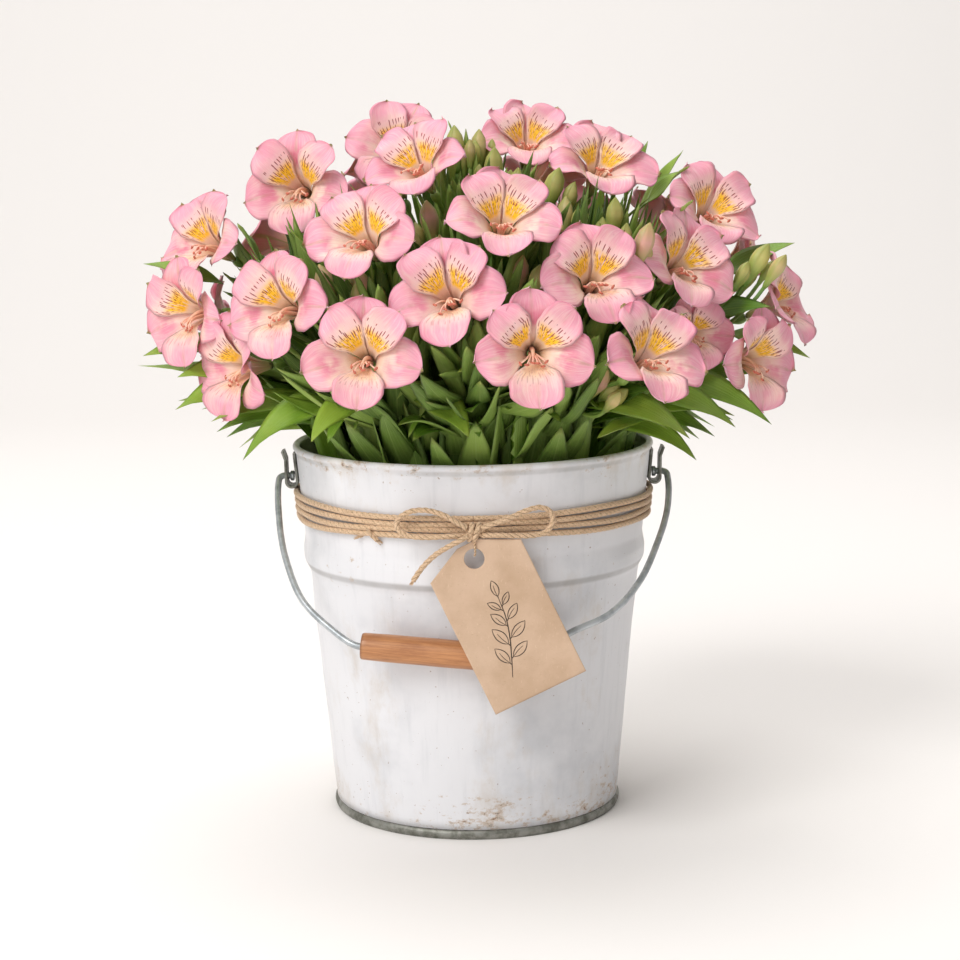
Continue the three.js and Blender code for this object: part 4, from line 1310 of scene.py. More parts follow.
@dataclass
class Bail:
    """The wire bail with its upset heads and the turned grip."""

    pivot: float = 177.0
    rest: float = 50.0
    wire: float = 1.7
    head_at: float = 95.7
    head_rings: Sequence[Pair] = (
        (-1.15, 1.6), (-1.1, 2.1), (-0.7, 2.65), (0.6, 2.7), (1.0, 2.4), (1.1, 1.6))
    grip_radius: float = 7.0
    grip_length: float = 76.0
    grip_bore: float = 2.4
    grip_edge: float = 1.2
    grip_chamfer: float = 0.3
    round_end: Sequence[Pair] = ((0.93, 0.25), (0.82, 0.75), (0.62, 1.0))
    grip_middle: Pair = (-18.8, 117.8)
    slope: float = 7.2
    left: Sequence[Pair] = (
        (-96.0, 0.0), (-100.2, 0.0), (-102.3, 1.4), (-102.9, 5.0), (-102.8, 14.0), (-101.8, 26.0),
        (-99.8, 42.0), (-96.4, 58.0), (-87.0, 84.0), (-72.1, 102.2))
    right: Sequence[Pair] = (
        (31.5, 118.6), (46.6, 107.0), (68.0, 94.8), (83.8, 74.5), (95.6, 46.0), (100.6, 29.0),
        (102.7, 14.0), (102.8, 5.0), (102.3, 1.4), (100.2, 0.0), (96.0, 0.0))

    def point(self, sideways: float, distance: float) -> Array:
        """A point of the bail from its sideways place and its distance from the pivot line."""
        angle = math.radians(self.rest)
        return np.array([sideways, -distance * math.sin(angle), self.pivot - distance * math.cos(angle)])

    def on_grip(self, along: float) -> Array:
        """A point on the grip's axis, measured from its middle.

        Args:
            along: the distance from its middle, to the right.

        Returns:
            The point.
        """
        slope = math.radians(self.slope)
        return self.point(self.grip_middle[0] + along * math.cos(slope),
                          self.grip_middle[1] + along * math.sin(slope))

    def build_wire(self) -> None:
        """Builds the wire from head to head."""
        half = self.grip_length / 2
        route = [self.point(*spot) for spot in self.left]
        route += [self.on_grip(along) for along in (-half - 3, -half + 6, 0, half - 6, half + 3)]
        route += [self.point(*spot) for spot in self.right]
        skin = Skin()
        skin.tube(SmoothLine(route).spaced(261), self.wire, 16, Coat.WIRE)
        places, radii = np.array(self.head_rings).T
        for side in (-1, 1):
            centres = np.array([(place + side * self.head_at, 0.0, self.pivot) for place in places])
            skin.tube(centres, radii if side < 0 else radii[::-1], 20, Coat.WIRE)
        skin.build("bail_steel_wire", Body.BAIL, Slot.WIRE, ["bail_wire"])

    def build_grip(self) -> None:
        """Builds the grip with its worn barrel and rounded ends."""
        half, edge = self.grip_length / 2, self.grip_edge
        steps = np.linspace(-1, 1, 33)
        barrel = self.grip_radius * (0.965 + 0.035 * (1 - steps**2) + 0.006 * np.sin(9 * steps + 1))
        first = [(barrel[0] - edge + edge * s, -half + edge - edge * c) for s, c in self.round_end[::-1]]
        last = [(barrel[-1] - edge + edge * s, half - edge + edge * c) for s, c in self.round_end]
        bore = half - self.grip_chamfer
        profile = np.array([(self.grip_bore, -bore), *first, *zip(barrel, steps * (half - edge)), *last,
                            (self.grip_bore, bore)])
        along = unit(self.on_grip(1.0) - self.on_grip(0.0))
        turn = np.array(Vector((0, 0, 1)).rotation_difference(Vector(along)).to_matrix())
        skin = Skin()
        skin.turned(profile, 56, Coat.WOOD, lambda points: points @ turn.T + self.on_grip(0.0),
                    (profile[:, 1] + half) / self.grip_length)
        skin.build("turned_wood_grip", Body.GRIP, Slot.WOOD, ["wood_grip"])

    def build(self) -> None:
        """Builds the wire and the grip."""
        self.build_wire()
        self.build_grip()


# ---------------------------------------- twine and tag


@dataclass
class Twine:
    """Four turns of jute round the pail, a knot, and a bow with two loops and one loose tail."""

    pail: Pail
    radius: float = 1.55
    turns: int = 4
    middle: float = 164.5
    pitch: float = 3.1
    clear: float = 0.3
    bow_radius: float = 1.4
    lay: float = 5.2
    knot: Point = (0.0, -97.4, 163.0)
    knot_bands: Sequence[Point] = ((-1.5, 12.0, 1.0), (1.3, 20.0, 1.06))
    knot_half: Pair = (2.6, 3.7)
    band_radius: float = 1.5
    cross_radius: float = 1.35
    cut_radius: float = 1.25
    fibres: int = 16
    fibre_spread: float = 0.38
    fibre_radii: Pair = (0.24, 0.07)
    cut_ends: Sequence[tuple[float, float, Point]] = (
        (-38.5, 157.2, (-0.9, 0.0, -0.3)), (-31.5, 156.2, (0.75, 0.15, -0.5)))
    loop_left: Sequence[Point] = (
        (-3.6, -98.6, 165.2), (-8.5, -99.2, 168.4), (-15.5, -98.6, 172.2), (-24.0, -96.8, 174.1),
        (-32.0, -94.6, 172.8), (-37.2, -93.0, 168.6), (-37.4, -93.2, 164.6), (-33.2, -94.9, 161.6),
        (-25.5, -97.4, 160.8), (-16.0, -98.9, 161.2), (-9.0, -99.0, 161.5), (-3.9, -97.9, 161.2))
    loop_right: Sequence[Point] = (
        (3.6, -98.6, 165.2), (9.0, -99.2, 167.2), (17.0, -98.6, 169.8), (25.5, -96.9, 173.2),
        (32.6, -94.8, 174.4), (37.6, -93.2, 171.8), (38.6, -92.9, 167.0), (36.0, -93.6, 162.6),
        (30.5, -95.4, 160.9), (21.5, -97.6, 161.0), (12.5, -98.9, 161.6), (3.9, -98.0, 161.5))
    tail: Sequence[Point] = (
        (-3.0, -100.6, 161.6), (-7.0, -101.6, 159.6), (-11.5, -101.0, 157.2), (-18.3, -99.2, 152.8),
        (-23.6, -97.8, 147.9), (-27.2, -97.0, 143.4), (-30.1, -96.8, 139.0))

    def strand(self, skin: Skin, centres: Array, radius: float, sides: int = 15) -> None:
        """Adds a three-ply twisted strand along points.

        Args:
            skin: the piece that it belongs to.
            centres: points along it, close together.
            radius: its outer radius.
            sides: corners of its section.
        """
        twist = 3 * ring_angles(sides) - 2 * np.pi * passed(centres)[:, None] / self.lay * 1.5
        shape = 0.74 + 0.26 * np.abs(np.cos(twist / 2)) ** 0.8
        # the tint follows the plies, for the painted shade in their grooves
        skin.tube(centres, radius, sides, Coat.TWINE, shape=shape, grooved=True)

    def fray(self, skin: Skin, start: Array, way: Array, length: float, draws: Draws) -> None:
        """Adds a tuft of loose fibres at a cut end.

        Args:
            skin: the piece that it belongs to.
            start: the cut end.
            way: the direction of the twine there.
            length: how long the fibres are.
            draws: the seeded draws.
        """
        for _ in range(self.fibres):
            spread = np.array([draws.about(1) for _ in range(3)])
            tip = start + unit(way + self.fibre_spread * spread) * length * draws.between(0.6, 1.0)
            bend = (start + tip) / 2 + 0.35 * spread - UP * 0.2
            line = BentLine(start - way * 1.2 + 0.4 * spread, bend, tip)
            skin.tube(line.spaced(6), np.linspace(*self.fibre_radii, 6), 4, Coat.TWINE, 0.8)

    def build_wrap(self) -> None:
        """Builds the turns, their knot and the short cut ends."""
        draws = Draws(41)
        skin = Skin()
        angles = np.radians(np.arange(0.0, 360.01, 0.75))
        for turn in range(self.turns):
            below = (self.turns - 1 - turn) * self.pitch * (1 + 0.22 * np.sin(angles) ** 2)
            level = self.middle + (self.turns - 1) / 2 * self.pitch - below
            phase = [draws.phase() for _ in range(3)]
            sway = 0.5 * np.sin(3 * angles + phase[0]) + 0.28 * np.sin(7 * angles + phase[1])
            out = 0.45 * np.sin(4 * angles + phase[2])
            height = level + sway
            reach = self.pail.radius(height) + self.clear + self.radius + np.abs(out)
            self.strand(skin, around(reach, angles, height), self.radius)
        self.build_knot(skin)
        for compass, level, way in self.cut_ends:
            start = polar(compass, float(self.pail.radius(level)) + 1.9, level)
            away = unit(np.array(way))
            root = start - away * 5.5 + UP * 2.2
            self.strand(skin, BentLine(root, start - away * 2.5, start).spaced(14), self.cut_radius)
            self.fray(skin, start, away, 3.4, draws)
        skin.build("twine_turns", Body.PAIL, Slot.TWINE, ["twine_wrap"])

    def build_knot(self, skin: Skin) -> None:
        """Adds the knot: a band drawn over the crossing strands.

        Args:
            skin: the faces of the turns.
        """
        centre = np.array(self.knot)
        angles = np.radians(np.arange(0.0, 360.1, 10.0))
        for shift, lean, size in self.knot_bands:
            deep, high = self.knot_half
            ring = size * np.stack([np.zeros_like(angles), -deep * np.cos(angles), high * np.sin(angles)], -1)
            tilt = np.array(Matrix.Rotation(math.radians(lean), 3, "Y"))
            self.strand(skin, centre + np.array([shift, 0.3, 0.0]) + ring @ tilt.T, self.band_radius)
        for low, high in ((-2.1, 1.4), (1.9, -1.7)):
            cross = BentLine(centre + [-5.2, 0.4, low], centre + [0.0, -1.2, 0.0], centre + [5.2, 0.4, high])
            self.strand(skin, cross.spaced(22), self.cross_radius)

    def build_cord(self, name: str, points: Sequence[Point], node: str, frayed: bool = False) -> None:
        """Args:
            name: the piece's name.
            points: the points that it passes.
            node: the solid that it stands for.
            frayed: whether its far end is cut and frayed, and not held by the knot.
        """
        line = SmoothLine(points)
        centres = line.spaced(150)
        skin = Skin()
        self.strand(skin, centres, self.bow_radius)
        if frayed:
            self.fray(skin, centres[-1], unit(centres[-1] - centres[-2]), 3.2, Draws(17))
        piece = skin.build(name, Body.PAIL, Slot.TWINE, [node])

    def build_cords(self) -> None:
        """Builds the two loops and the tail of the bow."""
        self.build_cord("jute_loop_left", self.loop_left, "bow_loop_left")
        self.build_cord("jute_loop_right", self.loop_right, "bow_loop_right")
        self.build_cord("jute_tail", self.tail, "bow_tail", frayed=True)


@dataclass
class Tag:
    """The kraft tag, a small pen drawing of a leafy sprig on it, and the thread that holds it."""

    knot: Point = (0.0, -97.4, 163.0)
    width: float = 49.4
    below: float = 74.0
    above: float = 8.0
    top_half: float = 5.5
    shoulder: float = -1.5
    thickness: float = 0.8
    hole: float = 5.0
    drop: float = 13.0
    tilt: float = 25.5
    lean: float = 3.7
    thread: float = 0.6
    thread_lay: float = 1.6
    pen: float = 0.5
    map_scale: float = 80.0
    sprig_stem: Sequence[Pair] = ((-9.0, -61.0), (-4.0, -49.0), (0.5, -36.0), (2.0, -23.0))
    sprig_leaves: Sequence[Point] = (
        (0.16, 44.0, 10.5), (0.24, -44.0, 10.5), (0.40, 44.0, 11.0), (0.48, -44.0, 10.5), (0.63, 44.0, 9.5),
        (0.70, -44.0, 9.0), (0.84, 44.0, 7.5), (0.89, -44.0, 7.0), (1.0, 3.0, 8.5))
    knot_radius: float = 3.6
    clear: float = 0.3

    def hang(self, points: Array) -> Array:
        """Lays points drawn round the hole, x across, y up, z forwards, where the tag hangs.

        Args:
            points: the points, one row each.

        Returns:
            The points at rest under the knot.
        """
        spin = Matrix.Rotation(math.radians(self.tilt), 3, "Z")
        stand = Matrix.Rotation(math.radians(90), 3, "X")
        lean = Matrix.Rotation(-math.radians(self.lean), 3, "X")
        upright = points @ np.array(stand @ spin).T + [0.0, 0.0, -self.drop]
        return upright @ np.array(lean).T + self.knot

    def outline(self) -> Array:
        """The tag's outline with clipped upper corners, counterclockwise."""
        half = self.width / 2
        return np.array([[-half, -self.below], [half, -self.below], [half, self.shoulder],
                         [self.top_half, self.above], [-self.top_half, self.above], [-half, self.shoulder]])

    def rims(self, angles: Sequence[float]) -> Array:
        """The points of the outline in directions from the hole's middle, as no corner of it is hollow.

        Args:
            angles: the directions, in radians.

        Returns:
            A point for each direction.
        """
        ways = np.stack([np.cos(angles), np.sin(angles)], -1)
        starts = self.outline()
        sides = np.roll(starts, -1, 0) - starts
        areas = starts[:, 0] * sides[:, 1] - starts[:, 1] * sides[:, 0]
        nearness = (ways[:, :1] * sides[:, 1] - ways[:, 1:] * sides[:, 0]) / areas
        return ways / nearness.max(1)[:, None]

    def curl(self, flat: Array) -> Array:
        """Height of the card's soft waves over its flat middle.

        Args:
            flat: points of the flat card, from the hole's middle.

        Returns:
            The height at each of them.
        """
        x, y = flat[..., 0], flat[..., 1]
        far = ease(6.0, 60.0, np.hypot(x, y))
        return far * (0.22 * np.sin(x / 14.0 + 0.6) + 0.20 * np.sin(y / 19.0) + 0.10 * np.sin((x + y) / 9.0))

    def rays(self) -> list[float]:
        """The directions of the card's rays, in radians: every 3 degrees, and exactly to each corner."""
        corners = [math.atan2(y, x) for x, y in self.outline()]
        angles = np.sort(np.concatenate([np.arange(-math.pi, math.pi, math.radians(3.0)), corners]))
        angles = angles[np.concatenate([[True], np.diff(angles) > math.radians(0.4)])]
        angles = np.unique(np.round(np.concatenate([angles, corners]), 6))
        near = [min(abs(angle - corner) for corner in corners) for angle in angles]
        return [angle for angle, gap in zip(angles, near) if gap < 1e-5 or gap > math.radians(1.0)]

    def build_card(self) -> None:
        """Builds the card with its punched hole, from rays that spread out to the outline."""
        keep = self.rays()
        rims = self.rims(keep)
        holes = self.hole * np.stack([np.cos(keep), np.sin(keep)], -1)
        shares = np.concatenate([[0.0, 0.02], np.linspace(0.08, 0.985, 18), [1.0]])
        flat = holes[None] + shares[:, None, None] * (rims - holes)[None]
        half = self.thickness / 2
        soft = np.ones(len(shares))
        soft[[0, -1]] = 0.45
        wave = self.curl(flat)
        face = np.concatenate([flat, (wave + half * soft[:, None])[..., None]], -1)
        back = np.concatenate([flat, (wave - half * soft[:, None])[..., None]], -1)
        loop = np.concatenate([face, back[::-1]], 0)
        count, facets = loop.shape[:2]
        quads = band_quads(count, facets, closed=True)[0][..., [0, 3, 2, 1]]
        maps = np.repeat(loop[:, :, None, :2] / self.map_scale, 4, axis=2)
        skin = Skin()
        skin.add(self.hang(loop.reshape(-1, 3)), quads, maps, Coat.KRAFT, 0.5)
        piece = skin.build("kraft_card", Body.TAG, Slot.KRAFT, ["gift_tag"])
        for polygon in piece.data.polygons:
            polygon.use_smooth = 2 * facets <= polygon.index % (count * facets)

    def stroke(self, skin: Skin, points: Sequence[Pair], width: float) -> None:
        """Adds a pen line on the card's face.

        Args:
            skin: the drawing.
            points: the points that it passes, from the hole's middle.
            width: the width of the line at its middle.
        """
        line = SmoothLine([(x, y, 0.0) for x, y in points])
        shares = np.linspace(0, 1, 8 * len(points))
        centres = line.sample(shares)
        way = unit(np.gradient(centres, axis=0))
        aside = np.stack([-way[:, 1], way[:, 0], np.zeros(len(way))], -1)
        swell = width / 2 * (0.45 + 0.55 * np.sin(np.pi * shares) ** 0.6)
        lift = self.thickness / 2 + 0.035 + self.curl(centres)
        grid = np.stack([centres + aside * swell[:, None] * k for k in (-1, 0, 1)], 1)
        grid[..., 2] = lift[:, None] + np.array([-0.02, 0.02, -0.02])
        skin.shell(self.hang(grid.reshape(-1, 3)).reshape(grid.shape), shares, -0.03, (Coat.INK, Coat.INK), 0.5)

    def build_sprig(self) -> None:
        """Draws a leafy sprig in brown ink."""
        skin = Skin()
        stem = SmoothLine([(x, y, 0.0) for x, y in self.sprig_stem])
        self.stroke(skin, [tuple(stem.at(share)[:2]) for share in (0, 0.25, 0.5, 0.75, 1.0)], 0.62)
        for share, turn, length in self.sprig_leaves:
            self.leaf_lines(skin, stem.at(share)[:2], stem.tangent(share)[:2], turn, length)
        skin.build("pen_sprig", Body.TAG, Slot.KRAFT)

    def leaf_lines(self, skin: Skin, root: Array, way: Array, turn: float, length: float) -> None:
        """Draws one leaf of the sprig as two curved sides and a short rib.

        Args:
            skin: the drawing.
            root: where the leaf leaves the stem.
            way: the stem's direction there.
            turn: the angle from the stem to the leaf, in degrees.
            length: the leaf's length.
        """
        angle = math.radians(turn)
        ahead = np.array([way[0] * math.cos(angle) - way[1] * math.sin(angle),
                          way[0] * math.sin(angle) + way[1] * math.cos(angle)])
        aside = np.array([-ahead[1], ahead[0]])
        foot, tip = root + ahead * 1.2, root + ahead * (length + 1.2)
        self.stroke(skin, [tuple(root), tuple(foot + ahead * 0.4)], self.pen)
        for side, belly in ((1, 0.20), (-1, 0.23)):
            bulge = [foot + ahead * length * share + aside * side * belly * length * height
                     for share, height in ((0.0, 0.0), (0.22, 0.72), (0.5, 1.0), (0.78, 0.66))]
            self.stroke(skin, [*(tuple(point) for point in bulge), tuple(tip)], self.pen)
        self.stroke(skin, [tuple(foot), tuple(foot + ahead * length * 0.35 + aside * 0.3),
                           tuple(foot + ahead * length * 0.7)], 0.36)

    def build_thread(self) -> None:
        """Builds the thread: down in front of the card's edge, through the hole and up behind."""
        front = self.thickness / 2 + self.thread + 0.35
        rise = self.drop - self.knot_radius - self.clear
        half = [(0.2, 1.6, 0.0), (0.5, 2.7, front * 0.8), (0.4, 5.5, front), (0.2, rise - 0.4, front * 0.8)]
        route = [(x, y, -z) for x, y, z in half[:0:-1]] + half
        spin = np.array(Matrix.Rotation(-math.radians(self.tilt), 3, "Z"))
        line = SmoothLine(np.array(route) @ spin.T)
        centres = self.hang(line.spaced(70))
        skin = Skin()
        shape = 0.8 + 0.2 * np.cos(2 * ring_angles(12) - 2 * np.pi * passed(centres)[:, None] / self.thread_lay)
        # the tint follows the plies, for the painted shade in their grooves
        skin.tube(centres, self.thread, 12, Coat.TWINE, shape=shape, grooved=True)
        skin.build("tag_thread", Body.TAG, Slot.TWINE, ["tag_string"])

    def build(self) -> None:
        """Builds the card, its drawing and the thread."""
        self.build_card()
        self.build_sprig()
        self.build_thread()


# ---------------------------------------- blooms


@dataclass(frozen=True)
class TepalKind:
    """One layer of three tepals."""

    angles: Point
    reach: float
    lift: float
    breadth: float
    widest: float
    cup: float
    recurve: float
    ruffle: float


@dataclass(frozen=True)
class BloomPlan:
    """Where one bloom sits, what it faces and which stem carries it."""

    seat: Point
    aim: Pair
    turn: float
    size: float
    stem: Stem

    def facing(self) -> Array:
        """The direction that the bloom looks in."""
        compass, height = (math.radians(angle) for angle in self.aim)
        return np.array([math.sin(compass) * math.cos(height), -math.cos(compass) * math.cos(height),
                         math.sin(height)])

    def up(self) -> Array:
        """The bloom's own up."""
        facing = self.facing()
        return unit(UP - facing * facing[2])

    def sideways(self, angle: float) -> Array:
        """A direction square to the facing, from its angle round the bloom's axis.

        Args:
            angle: the angle, in degrees.

        Returns:
            The direction.
        """
        facing, up = self.facing(), self.up()
        turned = math.radians(angle + self.turn)
        return np.cross(up, facing) * math.cos(turned) + up * math.sin(turned)

    def point(self, angle: float, radius: float, height: float) -> Array:
        """A point from its angle and distance round the axis and its height over the seat."""
        return (np.array(self.seat) + self.sideways(angle) * radius * self.size
                + self.facing() * height * self.size)


@dataclass
class Bloom:
    """One open flower: six tepals in two layers, six stamens and a style."""

    plan: BloomPlan
    number: int
    depth: float = 24.0
    thickness: float = 0.42
    throat: float = 9.0
    rows: int = 22
    columns: int = 13
    tip_rows: Pair = (1.01, 1.024)
    point_half: float = 1.5
    frill: float = 0.45
    midrib: float = 0.4
    midrib_half: float = 0.13
    lowest: float = 260.0
    low_gain: float = 1.2
    outer: TepalKind = TepalKind((90, 192, 348), 29.0, 4.0, 13.8, 0.72, 0.020, 1.6, 2.0)
    inner: TepalKind = TepalKind((48, 132, 270), 27.0, 7.0, 11.0, 0.80, 0.034, 1.0, 1.5)

    def __post_init__(self) -> None:
        """Starts the bloom's faces and its run of draws."""
        self.skin = Skin()
        self.draws = Draws(1000 + 37 * self.number)

    def tepal(self, kind: TepalKind, angle: float, coat: Coat) -> None:
        """Adds one tepal.

        Args:
            kind: the layer that it belongs to.
            angle: its angle round the bloom's axis.
            coat: the finish of its face.
        """
        plan, size, draws = self.plan, self.plan.size, self.draws
        low = kind is self.inner and angle > self.lowest
        angle += draws.about(5.0)
        reach = kind.reach * draws.between(0.96, 1.03)
        breadth = kind.breadth * draws.between(0.94, 1.04) * (self.low_gain if low else 1.0)
        phase, beat = draws.phase(), draws.between(1.1, 2.1)
        twist, sag = math.radians(draws.about(14)), draws.about(1.6)
        shade = draws.next()
        steps = 0.03 + 0.97 * np.sin(np.linspace(0, np.pi / 2, self.rows)) ** 1.1
        line = np.append(steps, self.tip_rows)[:, None]
        across = np.linspace(-1, 1, self.columns)
        limb, claw = ease(0.42, 1.0, line), ease(0.36, 0.76, line)
        radial = reach * (0.05 + 0.25 * line + 0.7 * line * line)
        rise = (self.depth + kind.lift) * (1 - (1 - np.minimum(line, 1.0)) ** 2.2) - self.depth
        rise += sag * limb - kind.recurve * ease(0.72, 1.0, line) ** 1.5
        tip = np.clip((line - kind.widest) / (1.0 - kind.widest), 0.0, 1.0)
        half = (radial * 0.62 * (1 - claw) + breadth * claw) * np.sqrt(np.clip(1 - tip**2.2, 0.0, 1.0))
        half = np.maximum(half, self.point_half * np.clip((1.028 - line) / 0.04, 0.0, 1.0) * (line > 0.98))
        spread = half * (1 + 0.045 * np.sign(across) * np.sin(8 * line + phase)
                         + 0.022 * np.sin(38 * line + 5 * across + phase))
        bend = (1 - ease(0.22, 0.66, line)) / radial + kind.cup * ease(0.22, 0.66, line)
        side, facing = plan.sideways(angle), plan.facing()
        spine = side * radial + facing * rise
        along = unit(np.gradient(spine, axis=0))
        level = np.cross(facing, side)
        tilt = twist * limb
        over = level * np.cos(tilt) + np.cross(along, level) * np.sin(tilt)
        normal = np.cross(along, over)
        turn = across * spread * bend
        sideways = np.sin(turn) / bend
        ruffle = np.sin(2 * np.pi * beat * line + phase + 1.6 * across)
        upward = (1 - np.cos(turn)) / bend
        upward = upward + kind.ruffle * across**2 * ruffle * ease(0.45, 0.85, line)
        upward = upward + self.frill * across**4 * np.sin(25 * line + 2.4 * phase + angle) * limb
        upward = upward - self.midrib * np.exp(-((across / self.midrib_half) ** 2)) * claw
        grid = spine[:, None] + over[:, None] * sideways[..., None] + normal[:, None] * upward[..., None]
        coats = (coat, Coat.BACK)
        self.skin.shell(np.array(plan.seat) + size * grid, line.ravel(), self.thickness, coats, shade)

    def stamens(self) -> None:
        """Adds the filaments, their anthers and the style."""
        plan, size, draws, skin = self.plan, self.plan.size, self.draws, self.skin
        for number in range(6):
            spread = (number - 2.5) * 17.0 + draws.about(6)
            out, top = draws.between(5.5, 10.5), draws.between(1.5, 4.0)
            root = plan.point(270 + 2 * spread, 1.2, -self.throat - 8.0)
            bow = plan.point(270 + spread, 1.2, -self.throat + draws.between(5.5, 8.0))
            crest = plan.point(270 + spread, out * 0.55, top + draws.between(0.0, 1.8))
            tip = plan.point(270 + spread + draws.about(9), out, top)
            line = BentLine(root, bow, crest, tip)
            skin.tube(line.spaced(10), np.linspace(0.6, 0.36, 10) * size, 6, Coat.FILAMENT)
            way = unit(plan.sideways(270 + spread + draws.between(40, 120)) + 0.3 * plan.facing())
            ends = np.linspace(-1, 1, 7)
            radii = 0.62 * np.sqrt(np.clip(1.04 - ends**2, 0.03, 1)) * size
            skin.tube(tip + way * (ends * 1.35)[:, None] * size, radii, 8, Coat.ANTHER, 0.5)
        style = BentLine(plan.point(90, 1.5, -self.throat - 9.0), plan.point(90, 2.6, -self.throat + 2.0),
                       plan.point(270, 1.5, -1.5), plan.point(262, 5.0, 1.0))
        skin.tube(style.spaced(12), np.linspace(1.35, 0.55, 12) * size, 9, Coat.FILAMENT)

    def build(self) -> None:
        """Builds the bloom."""
        for angle in self.outer.angles:
            self.tepal(self.outer, angle, Coat.OUTER)
        for angle in self.inner.angles:
            self.tepal(self.inner, angle, Coat.LOWER if angle > self.lowest else Coat.MARKED)
        self.stamens()
        self.skin.build(f"open_bloom_{self.number:02d}", Body.PAIL, Slot.PETAL, [f"bloom_{self.number:02d}"])


@dataclass
class Dome:
    """The dome of blooms: the listed ones of the front and sides, and three rings at the back."""

    front: Sequence[tuple] = (
        ((-26, -53, 340), (-29, 41), 20, 0.95, Stem.CENTRE),
        ((-89, -10, 329), (-17, 17), 2, 1.0, Stem.LEFT),
        ((-52, -85, 307), (-22, 35), 2, 1.0, Stem.FRONT_LEFT),
        ((-138, -6, 301), (-44, 27), 8, 1.0, Stem.LEFT),
        ((-144, -34, 266), (-43, 2), 12, 1.0, Stem.LEFT),
        ((-93, -86, 273), (-33, 15), 10, 1.0, Stem.FRONT_LEFT),
        ((-51, -122, 252), (-9, 16), -1, 1.0, Stem.FRONT_LEFT),
        ((-118, -56, 240), (-50, 0), -8, 0.98, Stem.LEFT),
        ((-11, -112, 280), (-13, 26), 8, 1.0, Stem.FRONT),
        ((16, -89, 314), (8, 42), -5, 1.0, Stem.FRONT),
        ((29, -135, 255), (3, 8), 0, 0.98, Stem.FRONT),
        ((60, -94, 286), (14, 32), 4, 1.0, Stem.FRONT_RIGHT),
        ((86, -113, 250), (36, 32), -12, 1.0, Stem.FRONT_RIGHT),
        ((107, -52, 289), (38, 27), -22, 1.0, Stem.RIGHT),
        ((68, -12, 338), (24, 46), -12, 1.0, Stem.CENTRE),
        ((31, 13, 351), (9, 50), -5, 0.92, Stem.CENTRE),
        ((126, -2, 314), (33, 36), -24, 1.0, Stem.RIGHT),
        ((145, -39, 239), (43, 1), -7, 0.96, Stem.RIGHT),
        ((162, -8, 266), (67, 22), -10, 0.94, Stem.RIGHT),
        ((112, -50, 254), (20, 4), 10, 0.72, Stem.RIGHT),
        ((-38, 8, 347), (-14, 30), -24, 0.95, Stem.CENTRE),
        ((148, 24, 290), (74, 28), 0, 0.8, Stem.RIGHT_BACK))
    rings: Sequence[tuple] = (
        (136, 250, 4, ((-98, Stem.BACK_LEFT), (-124, Stem.BACK_LEFT), (-150, Stem.BACK), (-176, Stem.BACK),
                       (158, Stem.BACK_RIGHT), (132, Stem.BACK_RIGHT), (108, Stem.RIGHT_BACK))),
        (110, 300, 26, ((-110, Stem.BACK_LEFT), (-145, Stem.BACK), (180, Stem.BACK), (145, Stem.BACK_RIGHT),
                        (114, Stem.RIGHT_BACK))),
        (66, 334, 54, ((-142, Stem.CENTRE), (142, Stem.CENTRE))))

    def plans(self) -> list[BloomPlan]:
        """The plans of all blooms, in their numbers' order."""
        draws = Draws(7)
        plans = [BloomPlan(*entry) for entry in self.front]
        for radius, height, look, places in self.rings:
            for compass, stem in places:
                turn_to = compass + draws.about(2)
                seat = polar(turn_to, radius, height + draws.about(4))
                aim = (compass + draws.about(8), look + draws.about(5))
                turn = draws.about(12)
                plans.append(BloomPlan(tuple(seat), aim, turn, draws.between(0.94, 1.0), stem))
        return plans


# ---------------------------------------- stems and leaves


class Run(Enum):
    """The kinds of leaves up a stem, by where they show."""

    RIM = "over the rim in front"
    EDGE = "over the rim at the side"
    SKIRT = "under the blooms at the side"
    CAPE = "under the blooms at the back"
    WHORL = "under the umbels"
    HEART = "deep in the middle"
    CROWN = "at the top of the middle"


@dataclass(frozen=True)
class Spiral:
    """One run of leaves up a stem, each pair from its lowest leaf to its highest."""

    count: int
    root: Pair
    reach: Pair
    height: Pair
    arch: Pair
    width: Pair
    bank: float
    shade: Pair


@dataclass(frozen=True)
class StemPlan:
    """One leafy stem: where it leans, the sector that it fills in degrees, and its leaves."""

    name: Stem
    compass: float
    sector: float
    leaves: tuple[Run, ...]
    seed: int

    def is_inner(self) -> bool:
        """Whether it fills the middle of the bunch, all the way round."""
        return self.sector == 360

    def pick(self, pair: tuple) -> object:
        """The first of a pair for the stem in the middle, and the second for the others."""
        return pair[0] if self.is_inner() else pair[1]

    def draws(self, seed: int) -> Draws:
        """A run of draws of the stem's own."""
        return Draws(seed + int(self.compass) % 360)

    def aside(self, spare: float, draws: Draws) -> float:
        """A drawn compass angle in the sector.

        Args:
            spare: how much wider than the sector the draw may be.
            draws: the seeded draws.

        Returns:
            The angle.
        """
        width = 360.0 if self.is_inner() else self.sector + spare
        return self.compass + draws.about(0.5) * width


@dataclass(frozen=True)
class Spray:
    """One leaf that stands out of the bunch, from the stem that carries it to its shade."""

    stem: Stem
    root: Point
    tip: Point
    arch: float
    width: float
    bank: float
    shade: float


